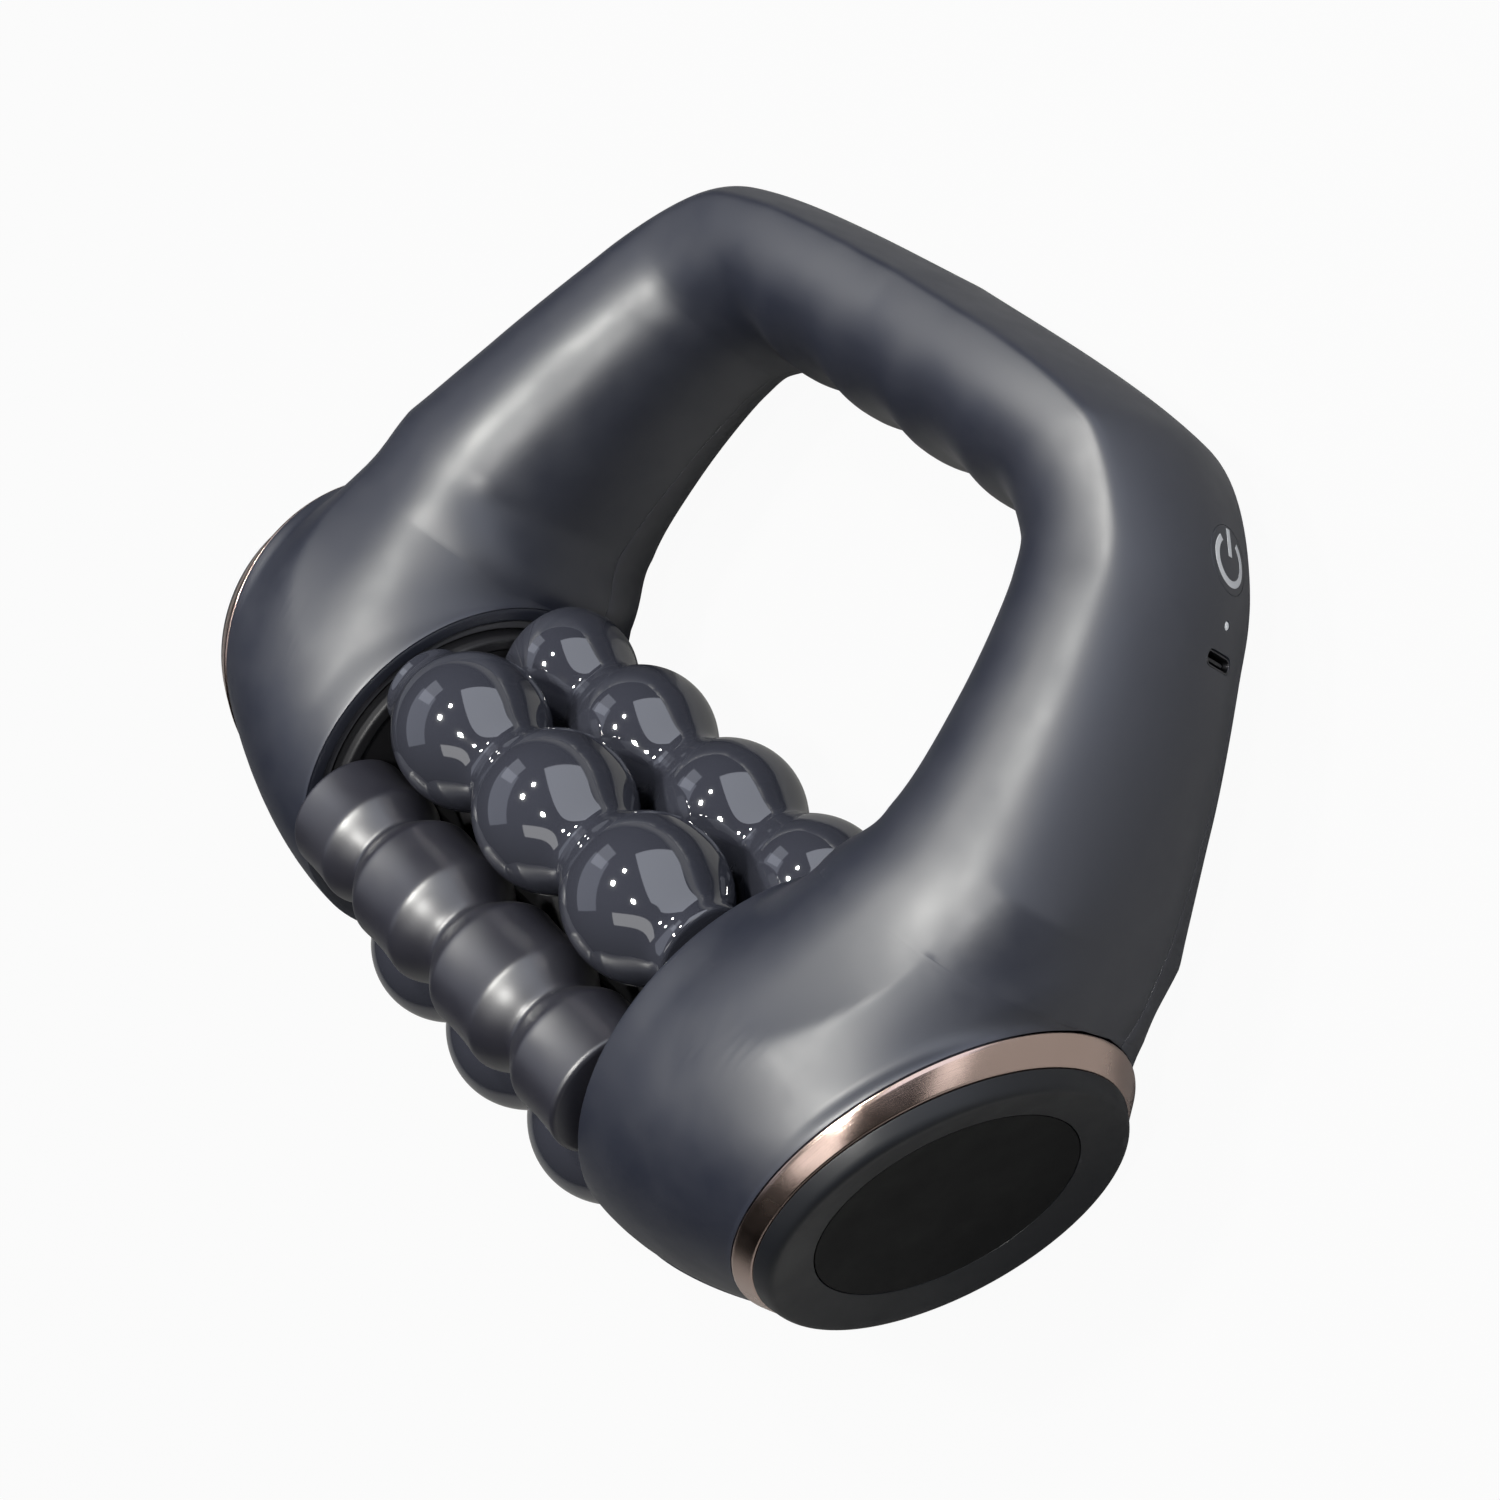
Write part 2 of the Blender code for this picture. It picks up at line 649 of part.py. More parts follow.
def duplicate(item, name):
    """A second object with its own copy of the mesh."""
    copy = item.copy()
    copy.data = item.data.copy()
    copy.name = name
    copy.data.name = name
    bpy.context.scene.collection.objects.link(copy)
    return copy


def skin_depth_at(x, z):
    """Half-depth of the housing at a place in the mid-plane."""
    places = np.linspace(0, LAST_STATION_share - FOOT_shares[1], PROBE_ROWS)
    points = skin_points(places, PROBE_SIDES, grooves=False).reshape(-1, 3)
    points = points[points[:, 1] < 0]
    nearest = np.argmin(np.hypot(points[:, 0] - x, points[:, 2] - z))
    return -points[nearest, 1]


def upright(name, x, z, start, end, radius, material, parent, steps=SMALL_STEPS):
    """A cylinder along Y between two depths."""
    place = {"location": (x, 0, z), "rotation": (0, 0, math.pi / 2)}
    return rod(name, start, end, radius, material, parent, steps, **place)


def screw_places():
    """Both sides' screw axes with the housing's half-depth there: in the corner, the arm and the barrel."""
    hole_top = GRIP_UNDERSIDE + GROOVE_DEPTH
    across, up = SCREW_CORNER_shares
    corner = (HOLE_TOP_HALF + across * CORNER_WIDTH, hole_top + up * (GRIP_TOP - hole_top))
    arm = (HOLE_WAIST_HALF + SCREW_ARM_share * ARM_MID_WIDTH, HOLE_WAIST_HEIGHT)
    barrel = (MOUTH_HALF + SCREW_BARREL_share * (END_HALF - MOUTH_HALF), -SCREW_BARREL_DROP)
    return [(side * x, z, skin_depth_at(x, z)) for x, z in (corner, arm, barrel) for side in (-1, 1)]


def head_seat(depth):
    """Depth at which a screw head's underside sits in the rear cover."""
    return depth - SCREW_HEAD_SINK


def wall_point(height):
    """Place and outward direction of the right outer edge at this height, in the mid-plane."""
    places = np.linspace(1, BARREL_TOP_share, WALL_ROWS)
    _, outer = loop_edges(places)
    index = int(np.argmin(np.abs(outer[:, 1] - height)))
    index = min(max(index, 1), WALL_ROWS - 2)
    run = outer[index + 1] - outer[index - 1]
    run /= np.linalg.norm(run)
    return Vector((outer[index, 0], 0, outer[index, 1])), Vector((-run[1], 0, run[0]))


def facing(direction):
    """Rotation that turns +X into a direction in the XZ plane."""
    return (0, -math.atan2(direction.z, direction.x), 0)


def board_axis():
    """Middle of the controls' chord and the outward direction of the board under them."""
    top, _ = wall_point(BUTTON_HEIGHT)
    foot, _ = wall_point(SOCKET_HEIGHT)
    run = (foot - top).normalized()
    return (top + foot) / 2, Vector((-run.z, 0, run.x))


def board_face():
    """A point on the board's outer face under the middle of the controls."""
    middle, out = board_axis()
    foot, _ = wall_point(SOCKET_HEIGHT)
    return middle - out * ((middle - foot).dot(out) + SOCKET_DEPTH)


def over_board(height):
    """Where a control at this height meets the board's face, and its distance from the wall."""
    _, out = board_axis()
    wall, _ = wall_point(height)
    reach = (wall - board_face()).dot(out)
    return wall - out * reach, reach


def front_shell(blank, material, parent):
    """Front of the housing with its screw posts and the holes for the controls."""
    shell = duplicate(blank, "front_shell")
    end = SEAM_DEPTH + OVERRUN
    pilot = SCREW_RADIUS + SEAT_GAP
    for x, z, depth in screw_places():
        join(shell, upright("post", x, z, POST_SINK - depth, end, POST_RADIUS, material, parent))
        tip = head_seat(depth) - SCREW_LENGTH - OVERRUN
        cut(shell, upright("pilot", x, z, tip, end + OVERRUN, pilot, material, parent))
    cut_control_holes(shell, material, parent)
    span = 4 * END_HALF
    place = {"location": (0, SEAM_DEPTH + span / 2, 0)}
    return cut(shell, slab("behind", (span, span, span), material, parent, **place))


def cut_control_holes(shell, material, parent):
    """Openings in the right shoulder for the button, the light and the socket."""
    wall, out = wall_point(BUTTON_HEIGHT)
    depth = WALL + OVERRUN
    hole = BUTTON_RADIUS + SEAT_GAP
    place = {"location": wall, "rotation": facing(out)}
    cut(shell, rod("button_hole", -depth, OVERRUN, hole, material, parent, **place))
    _, out = board_axis()
    wall, _ = wall_point(LIGHT_HEIGHT)
    hole = LIGHT_RADIUS + SEAT_GAP
    place = {"location": wall, "rotation": facing(out)}
    cut(shell, rod("light_hole", -depth, OVERRUN, hole, material, parent, SMALL_STEPS, **place))
    wall, _ = wall_point(SOCKET_HEIGHT)
    place = {"location": wall, "rotation": facing(out)}
    width = SOCKET_WIDTH + 2 * SEAT_GAP
    length = SOCKET_LENGTH + 2 * SEAT_GAP
    cut(shell, oblong("socket_hole", -depth, OVERRUN, length, width, material, parent, **place))


def oblong(name, start, end, length, width, material, parent, **place):
    """A block along X with a slot-shaped section, long in Y."""
    radius = width / 2
    run = length / 2 - radius
    outline = []
    for side in (1, -1):
        for step in range(SLOT_STEPS + 1):
            angle = math.pi * (step / SLOT_STEPS - side / 2)
            outline.append((side * run + radius * math.cos(angle), radius * math.sin(angle)))
    return extruded(name, outline, start, end, material, parent, **place)


def rear_cover(blank, material, parent):
    """Rear of the housing with counterbored screw posts."""
    cover = duplicate(blank, "rear_cover")
    seam = SEAM_DEPTH + SEAT_GAP
    start = seam - OVERRUN
    recess = SCREW_HEAD_RADIUS + SEAT_GAP
    through = SCREW_RADIUS + SEAT_GAP
    for x, z, depth in screw_places():
        seat = head_seat(depth)
        join(cover, upright("post", x, z, start, depth - POST_SINK, REAR_POST_RADIUS, material, parent))
        cut(cover, upright("through", x, z, start - OVERRUN, seat + OVERRUN, through, material, parent))
        cut(cover, upright("recess", x, z, seat, depth + OVERRUN, recess, material, parent))
    span = 4 * END_HALF
    place = {"location": (0, seam - span / 2, 0)}
    return cut(cover, slab("ahead", (span, span, span), material, parent, **place))


def case_screws(material, parent):
    """Six screws from the rear cover into the front shell's posts."""
    for number, (x, z, depth) in enumerate(screw_places(), 1):
        seat = head_seat(depth) + SEAT_GAP
        top = seat + SCREW_HEAD_HEIGHT
        profile = [
            (seat - SCREW_LENGTH, 0),
            (seat - SCREW_LENGTH, SCREW_RADIUS / 2),
            (seat - SCREW_LENGTH + SCREW_RADIUS, SCREW_RADIUS),
            (seat, SCREW_RADIUS),
            (seat, SCREW_HEAD_RADIUS),
            (top - SCREW_EDGE, SCREW_HEAD_RADIUS),
            (top, SCREW_HEAD_RADIUS - SCREW_EDGE),
            (top, SCREW_RECESS_RADIUS),
            (top - SCREW_HEAD_HEIGHT / 2, 0),
        ]
        place = {"location": (x, 0, z), "rotation": (0, 0, math.pi / 2)}
        turned(f"case_screw_{number}", profile, material, parent, SMALL_STEPS, **place)


def trim_ring(side, name, material, parent):
    """Tapered oval band between the barrel and its end cap."""
    profile = [
        (side * SEAT_GAP, RING_BORE),
        (side * SEAT_GAP, END_RADIUS),
        (side * (SEAT_GAP + RING_HEIGHT / 5), END_RADIUS),
        (side * RING_HEIGHT, RING_TOP_RADIUS),
        (side * RING_HEIGHT, RING_BORE),
    ]
    ring = turned(name, profile, material, parent, END_STEPS, END_SQUASH_share, **end_frame(side))
    return lean_down(ring, side)


def cap_recess_floor():
    """Height of the recess floor in the end cap above the barrel's end plane."""
    return CAP_HEIGHT - CAP_DISH_DROP - CAP_RECESS_DROP


def end_cap(side, name, material, parent):
    """Oval cap with a dished face, a round recess and a spigot in the barrel's end."""
    base = RING_HEIGHT + SEAT_GAP
    dish = CAP_HEIGHT - CAP_DISH_DROP
    floor = cap_recess_floor()
    spigot = END_BORE - SEAT_GAP
    profile = [
        (floor, 0),
        (floor, CAP_DISH_RADIUS - CAP_EDGE),
        (dish - CAP_EDGE, CAP_DISH_RADIUS),
        (dish, CAP_DISH_RADIUS + CAP_EDGE),
        (CAP_HEIGHT, CAP_TOP_RADIUS - CAP_EDGE),
        (CAP_HEIGHT - CAP_EDGE / 3, CAP_TOP_RADIUS),
        (CAP_HEIGHT - CAP_EDGE * 2, CAP_TOP_RADIUS + CAP_EDGE),
        (base + CAP_EDGE / 2, CAP_RADIUS),
        (base, CAP_RADIUS - CAP_EDGE / 2),
        (base, spigot),
        (0, spigot),
        (-CAP_SPIGOT_REACH, spigot),
        (-CAP_SPIGOT_REACH, spigot - CAP_SPIGOT_WALL),
        (floor - CAP_FLOOR, spigot - CAP_SPIGOT_WALL),
        (floor - CAP_FLOOR, 0),
    ]
    profile = [(side * along, radius) for along, radius in profile]
    cap = turned(name, profile, material, parent, END_STEPS, END_SQUASH_share, **end_frame(side))
    return lean_down(cap, side)


def cap_insert(side, name, material, parent):
    """Dark dished disc in the cap's recess, flat in the middle."""
    floor = cap_recess_floor() + SEAT_GAP
    rim = CAP_DISH_RADIUS - CAP_EDGE - SEAT_GAP
    flat = floor + INSERT_RIM - INSERT_DISH
    profile = [
        (floor, 0),
        (floor, rim),
        (floor + INSERT_RIM * 0.7, rim),
        (floor + INSERT_RIM, rim - INSERT_RIM / 2),
        (flat, INSERT_FLAT_RADIUS),
        (flat, 0),
    ]
    profile = [(side * along, radius) for along, radius in profile]
    insert = turned(name, profile, material, parent, END_STEPS, END_SQUASH_share, **end_frame(side))
    return lean_down(insert, side)


def bead_radius(x, beads):
    """Radius at a place along a roller: round beads that run into concave necks."""
    bulges = [math.sqrt(max(radius * radius - (x - centre) ** 2, 0)) for centre, radius in beads]
    return (sum(bulge**NECK_POWER for bulge in bulges) + NECK_RADIUS**NECK_POWER) ** (1 / NECK_POWER)


def bead_profile(beads, half):
    """The roller's outline as (along, radius) points, close together where it curves most."""
    reach = half - ROLLER_EDGE
    places = {-reach, reach}
    for centre, radius in beads:
        places.update(centre + share * radius for share in BEAD_POINT_shares)
    for (left, _), (right, _) in zip(beads, beads[1:]):
        places.add((left + right) / 2)
    spare = 2 * ROLLER_EDGE
    kept = sorted(x for x in places if abs(x) < reach - spare or abs(x) == reach)
    return [(x, bead_radius(x, beads)) for x in kept]


def roller_solid(name, beads, material, parent, location):
    """A beaded roller with a bore for its axle."""
    body = bead_profile(beads, ROLLER_HALF)
    bore = AXLE_RADIUS + RUN_GAP
    first = body[0][1] - ROLLER_EDGE
    last = body[-1][1] - ROLLER_EDGE
    start = [(-ROLLER_HALF, bore), (-ROLLER_HALF, first)]
    end = [(ROLLER_HALF, last), (ROLLER_HALF, bore)]
    profile = [*start, *body, *end]
    return turned(name, profile, material, parent, ROLLER_STEPS, location=location)


def roller_place(number):
    """Axis of a roller on the drum; number 1 faces the handle and they go round over the front."""
    angle = math.radians(90 + 60 * (number - 1))
    return (0, ROLLER_CIRCLE * math.cos(angle), ROLLER_CIRCLE * math.sin(angle))


def drum_rollers(gloss, satin, parent):
    """Six rollers in turn with two and with three large beads, so that they mesh without touching."""
    three = [(place * BEAD_PITCH, BEAD_RADIUS) for place in (-1, 0, 1)]
    middle = MID_BEAD_PITCH / 2
    ends = middle + END_BEAD_PITCH
    two = [
        (-ends, END_BEAD_RADIUS),
        (-middle, MID_BEAD_RADIUS),
        (middle, MID_BEAD_RADIUS),
        (ends, END_BEAD_RADIUS),
    ]
    for number in range(1, 7):
        beads = two if number % 2 else three
        material = satin if number == 3 else gloss
        roller_solid(f"roller_{number}", beads, material, parent, roller_place(number))


def carrier_start():
    """Inner face of a carrier disc, just outside the rollers' ends."""
    return ROLLER_HALF + SEAT_GAP


def roller_axles(material, parent):
    """Six steel pins from carrier to carrier."""
    reach = carrier_start() + AXLE_EMBED
    for number in range(1, 7):
        name = f"roller_axle_{number}"
        rod(name, -reach, reach, AXLE_RADIUS, material, parent, SMALL_STEPS, location=roller_place(number))


def carrier_disc(side, name, material, parent):
    """Disc in the barrel's mouth that holds one end of every axle."""
    start = carrier_start()
    end = start + CARRIER_THICKNESS
    bore = SHAFT_RADIUS + SEAT_GAP
    profile = [
        (start, bore),
        (start, CARRIER_RADIUS - CARRIER_EDGE),
        (start + CARRIER_EDGE, CARRIER_RADIUS),
        (end, CARRIER_RADIUS),
        (end, CARRIER_HUB_RADIUS),
        (end + CARRIER_EDGE, CARRIER_HUB_RADIUS - CARRIER_EDGE),
        (end + CARRIER_EDGE, bore),
    ]
    profile = [(side * along, radius) for along, radius in profile]
    disc = turned(name, profile, material, parent, END_STEPS)
    pocket = AXLE_RADIUS + SEAT_GAP
    for number in range(1, 7):
        ends = (side * (start - OVERRUN), side * (start + AXLE_EMBED + SEAT_GAP))
        place = {"location": roller_place(number)}
        cut(disc, rod("pocket", *ends, pocket, material, parent, SMALL_STEPS, **place))
    return disc


def drum_core(material, parent):
    """Tube over the shaft that keeps the carriers apart."""
    reach = carrier_start() - SEAT_GAP
    bore = SHAFT_RADIUS + SEAT_GAP
    return tube("drum_core", -reach, reach, bore, CORE_RADIUS, material, parent, edge=CARRIER_EDGE)


def plate_start():
    """Inner face of a bearing plate, seated at the bottom of the mouth's bore."""
    return MOUTH_HALF + MOUTH_BORE_DEPTH - PLATE_THICKNESS - SEAT_GAP


def bearing_plate(side, name, material, parent):
    """Wall across the barrel with a thick hub for the bearing, a thin web and a thick rim."""
    start = plate_start()
    end = start + PLATE_THICKNESS
    pocket = BEARING_RADIUS + SEAT_GAP
    rim = MOUTH_BORE - SEAT_GAP
    web = start + PLATE_WEB
    profile = [
        (start, pocket),
        (start, rim),
        (end, rim),
        (end, rim - PLATE_THICKNESS),
        (web, rim - PLATE_THICKNESS),
        (web, PLATE_HUB_RADIUS),
        (end + PLATE_HUB_HEIGHT, PLATE_HUB_RADIUS),
        (end + PLATE_HUB_HEIGHT, pocket),
    ]
    return turned(name, [(side * a, r) for a, r in profile], material, parent, END_STEPS)


def drum_bearing(side, name, material, parent):
    """Ball bearing, drawn as one ring with a grooved face."""
    start = plate_start() + SEAT_GAP
    end = start + BEARING_WIDTH
    bore = SHAFT_RADIUS + SEAT_GAP
    middle = (bore + BEARING_RADIUS) / 2
    groove = (BEARING_RADIUS - bore) / 6
    profile = [
        (start, bore),
        (start, middle - groove),
        (start + groove, middle - groove),
        (start + groove, middle + groove),
        (start, middle + groove),
        (start, BEARING_RADIUS),
        (end, BEARING_RADIUS),
        (end, bore),
    ]
    return turned(name, [(side * a, r) for a, r in profile], material, parent)


def mouth_bezel(side, name, material, parent):
    """Ring round the carrier, set a little inside the mouth."""
    start = MOUTH_HALF + BEZEL_INSET
    end = start + BEZEL_THICKNESS
    outer = MOUTH_BORE - SEAT_GAP
    inner = CARRIER_RADIUS + RUN_GAP
    profile = [
        (start + CARRIER_EDGE, inner),
        (start, inner + CARRIER_EDGE),
        (start, outer),
        (end, outer),
        (end, inner),
    ]
    return turned(name, [(side * a, r) for a, r in profile], material, parent, END_STEPS)


def gear_start():
    """Near face of the drum gear, clear of the bearing plate's hub."""
    return plate_start() + PLATE_THICKNESS + PLATE_HUB_HEIGHT + GEAR_SIDE_GAP


def motor_start():
    """Face of the gear motor, behind its bracket."""
    return gear_start() + GEAR_HUB_LENGTH + GEAR_WIDTH + GEAR_SIDE_GAP + BRACKET_THICKNESS + SEAT_GAP


def drum_shaft(material, parent):
    """Steel shaft through both bearings; its right end carries the gear."""
    left = -(plate_start() + BEARING_WIDTH + GEAR_SIDE_GAP)
    right = gear_start() + GEAR_HUB_LENGTH + GEAR_WIDTH
    return rod("drum_shaft", left, right, SHAFT_RADIUS, material, parent)


def gear_outline(teeth, turn):
    """Outline of a spur gear with slim straight-flanked teeth, as (y, z) points."""
    pitch_radius = GEAR_MODULE * teeth / 2
    tip = pitch_radius + GEAR_MODULE * TOOTH_HEIGHT_share
    root = pitch_radius - GEAR_MODULE * TOOTH_DEPTH_share
    step = math.tau / teeth
    corners = [
        (root, -TOOTH_ROOT_share),
        (tip, -TOOTH_TIP_share),
        (tip, TOOTH_TIP_share),
        (root, TOOTH_ROOT_share),
    ]
    outline = []
    for tooth in range(teeth):
        middle = turn + tooth * step
        for radius, share in corners:
            angle = middle + share * step
            outline.append((radius * math.cos(angle), radius * math.sin(angle)))
    return outline


def gear_centres():
    """Distance between the gear's and the pinion's axes."""
    return GEAR_MODULE * (GEAR_TEETH + PINION_TEETH) / 2


def drum_gear(material, parent):
    """Large gear on the drum shaft, with a hub towards the bearing."""
    start = gear_start() + GEAR_HUB_LENGTH
    outline = gear_outline(GEAR_TEETH, math.pi / 2)
    gear = extruded("drum_gear", outline, start, start + GEAR_WIDTH, material, parent)
    middle = start + GEAR_WIDTH / 2
    join(gear, rod("hub", gear_start(), middle, GEAR_HUB_RADIUS, material, parent))
    bore = SHAFT_RADIUS + SEAT_GAP
    end = start + GEAR_WIDTH + OVERRUN
    return cut(gear, rod("bore", gear_start() - OVERRUN, end, bore, material, parent))


def motor_pinion(material, parent):
    """Small gear with its spindle, which runs into the motor."""
    start = gear_start() + GEAR_HUB_LENGTH
    half_tooth = math.pi / PINION_TEETH
    turn = -math.pi / 2 + half_tooth
    place = {"location": (0, 0, gear_centres())}
    outline = gear_outline(PINION_TEETH, turn)
    pinion = extruded("motor_pinion", outline, start, start + GEAR_WIDTH, material, parent, **place)
    root = start + GEAR_WIDTH / 2
    tip = motor_start() - SEAT_GAP + MOTOR_SHAFT_RADIUS
    spindle = rod("spindle", root, tip, MOTOR_SHAFT_RADIUS, material, parent, SMALL_STEPS, **place)
    return join(pinion, spindle)


def gear_motor(material, parent):
    """Motor with gearbox in the right barrel, its nose pocket round the pinion's spindle."""
    start = motor_start()
    end = end_plane_half(gear_centres() - MOTOR_RADIUS) - MOTOR_END_GAP
    pocket = MOTOR_SHAFT_RADIUS + RUN_GAP
    profile = [
        (start + MOTOR_POCKET_DEPTH, 0),
        (start + MOTOR_POCKET_DEPTH, pocket),
        (start, pocket),
        (start, MOTOR_RADIUS),
        (start + GEARBOX_LENGTH, MOTOR_RADIUS),
        (start + GEARBOX_LENGTH, MOTOR_CAN_RADIUS),
        (end - MOTOR_EDGE, MOTOR_CAN_RADIUS),
        (end, MOTOR_END_RADIUS),
        (end, 0),
    ]
    return turned("gear_motor", profile, material, parent, location=(0, 0, gear_centres()))


def motor_bracket(material, parent):
    """Plate between gear and motor on three posts from the bearing plate's web."""
    end = motor_start() - SEAT_GAP
    start = end - BRACKET_THICKNESS
    bracket = tube("motor_bracket", start, end, BRACKET_BORE, BRACKET_RADIUS, material, parent)
    foot = plate_start() + PLATE_WEB + SEAT_GAP
    top = start + BRACKET_THICKNESS / 2
    for share in POST_ANGLE_shares:
        y = BRACKET_POST_CIRCLE * math.cos(share * math.tau)
        z = BRACKET_POST_CIRCLE * math.sin(share * math.tau)
        place = {"location": (0, y, z)}
        join(bracket, rod("post", foot, top, BRACKET_POST_RADIUS, material, parent, SMALL_STEPS, **place))
    hole = MOTOR_SHAFT_RADIUS + 2 * RUN_GAP
    place = {"location": (0, 0, gear_centres())}
    ends = (start - OVERRUN, end + OVERRUN)
    return cut(bracket, rod("hole", *ends, hole, material, parent, SMALL_STEPS, **place))


def cell_height():
    """Height of the cells' axes, resting in the tray on the grip's floor."""
    floor = GRIP_UNDERSIDE + GROOVE_DEPTH + WALL + SEAT_GAP
    return floor + TRAY_BASE + SEAT_GAP + CELL_RADIUS


def battery_cells(material, parent):
    """Two cells side by side along the grip."""
    half = CELL_LENGTH / 2
    profile = [
        (-half, 0),
        (-half, CELL_RADIUS),
        (half - CELL_TIP_HEIGHT, CELL_RADIUS),
        (half - CELL_TIP_HEIGHT, CELL_TIP_RADIUS),
        (half, CELL_TIP_RADIUS),
        (half, 0),
    ]
    offset = CELL_RADIUS + SEAT_GAP
    turned("battery_cell_front", profile, material, parent, location=(0, -offset, cell_height()))
    turned("battery_cell_rear", profile, material, parent, location=(0, offset, cell_height()))


def battery_tray(material, parent):
    """Cradle under the cells, its top hollowed to their curve."""
    base = cell_height() - CELL_RADIUS - SEAT_GAP - TRAY_BASE
    offset = CELL_RADIUS + SEAT_GAP
    radius = CELL_RADIUS + SEAT_GAP
    spine = cell_height() - TRAY_SPINE_DROP
    flare = base + TRAY_FLARE
    outline = [
        (-TRAY_HALF_WIDTH, flare),
        (-TRAY_FOOT_HALF, base),
        (TRAY_FOOT_HALF, base),
        (TRAY_HALF_WIDTH, flare),
    ]
    for y in np.linspace(TRAY_HALF_WIDTH, -TRAY_HALF_WIDTH, TRAY_STEPS + 1):
        drop = math.sqrt(max(radius**2 - (abs(y) - offset) ** 2, 0))
        outline.append((y, min(cell_height() - drop, spine)))
    return extruded("battery_tray", outline, -TRAY_HALF_LENGTH, TRAY_HALF_LENGTH, material, parent)


def power_button(outline, material, parent):
    """Round key flush with the shoulder, with a stem to its switch."""
    wall, out = wall_point(BUTTON_HEIGHT)
    place = {"location": wall, "rotation": facing(out)}
    key = rod("power_button", -BUTTON_THICKNESS, OVERRUN, BUTTON_RADIUS, material, parent, **place)
    combine(key, duplicate(outline, "trim"), "INTERSECT")
    _, reach = over_board(BUTTON_HEIGHT)
    stem_end = -(reach - SWITCH_HEIGHT - BUTTON_TRAVEL - 2 * SEAT_GAP)
    ends = (stem_end, -BUTTON_THICKNESS / 2)
    stem = rod("stem", *ends, BUTTON_STEM_RADIUS, material, parent, SMALL_STEPS, **place)
    return join(key, stem)


def control_board(material, parent):
    """Circuit board under the controls, parallel to the shoulder."""
    _, out = board_axis()
    centre = board_face() - out * (SEAT_GAP + BOARD_THICKNESS / 2)
    size = (BOARD_THICKNESS, BOARD_WIDTH, BOARD_LENGTH)
    return slab("control_board", size, material, parent, location=centre, rotation=facing(out))


def button_switch(material, parent):
    """Push switch on the board, its plunger under the button's stem."""
    _, out = board_axis()
    foot, _ = over_board(BUTTON_HEIGHT)
    size = (SWITCH_BODY_HEIGHT, SWITCH_SIDE, SWITCH_SIDE)
    centre = foot + out * SWITCH_BODY_HEIGHT / 2
    switch = slab("button_switch", size, material, parent, location=centre, rotation=facing(out))
    place = {"location": foot, "rotation": facing(out)}
    ends = (SWITCH_BODY_HEIGHT / 2, SWITCH_HEIGHT)
    plunger = rod("plunger", *ends, PLUNGER_RADIUS, material, parent, SMALL_STEPS, **place)
    return join(switch, plunger)


def usb_socket(material, parent):
    """Metal socket shell with its tongue, its mouth flush with the shoulder."""
    _, out = board_axis()
    foot, reach = over_board(SOCKET_HEIGHT)
    place = {"location": foot, "rotation": facing(out)}
    top = reach - SEAT_GAP
    shell = oblong("usb_socket", 0, top, SOCKET_LENGTH, SOCKET_WIDTH, material, parent, **place)
    inner_length = SOCKET_LENGTH - 2 * SOCKET_WALL
    inner_width = SOCKET_WIDTH - 2 * SOCKET_WALL
    bottom = top - SOCKET_MOUTH_DEPTH
    cut(shell, oblong("mouth", bottom, top + OVERRUN, inner_length, inner_width, material, parent, **place))
    size = (TONGUE_HEIGHT + TONGUE_ROOT, TONGUE_LENGTH, TONGUE_WIDTH)
    centre = foot + out * (bottom + (TONGUE_HEIGHT - TONGUE_ROOT) / 2)
    return join(shell, slab("tongue", size, material, parent, location=centre, rotation=facing(out)))


def light_pipe(material, parent):
    """Clear rod from the board to the small window."""
    _, out = board_axis()
    foot, reach = over_board(LIGHT_HEIGHT)
    place = {"location": foot, "rotation": facing(out)}
    return rod("light_pipe", 0, reach, LIGHT_RADIUS, material, parent, SMALL_STEPS, **place)


def rest_pitch():
    """How far the handle dips when the object lies on a roller and on the rear of the grip."""
    skin = skin_points(np.linspace(0, ARM_MIDDLE_share, PROBE_ROWS), PROBE_SIDES).reshape(-1, 3)
    roller = roller_place(6)
    low = 0.0
    high = math.pi / 6
    for _ in range(40):
        pitch = (low + high) / 2
        grip_reach = (skin[:, 1] * math.cos(pitch) + skin[:, 2] * math.sin(pitch)).max()
        roller_reach = roller[1] * math.cos(pitch) + roller[2] * math.sin(pitch) + BEAD_RADIUS
        if grip_reach < roller_reach:
            low = pitch
        else:
            high = pitch
    return low


def lay_down(root):
    """Turn the root so that the object lies on its back, its box centred over the origin at floor level."""
    root.rotation_euler = (-(math.pi / 2 + rest_pitch()), 0, 0)
    bpy.context.view_layer.update()
    corners = []
    for item in bpy.context.scene.objects:
        if item.type != "MESH" or item.hide_render:
            continue
        corners.extend(item.matrix_world @ vertex.co for vertex in item.data.vertices)
    corners = np.array(corners)
    low = corners.min(axis=0)
    high = corners.max(axis=0)
    middle = (low + high) / 2
    root.location = (-middle[0], -middle[1], -low[2])


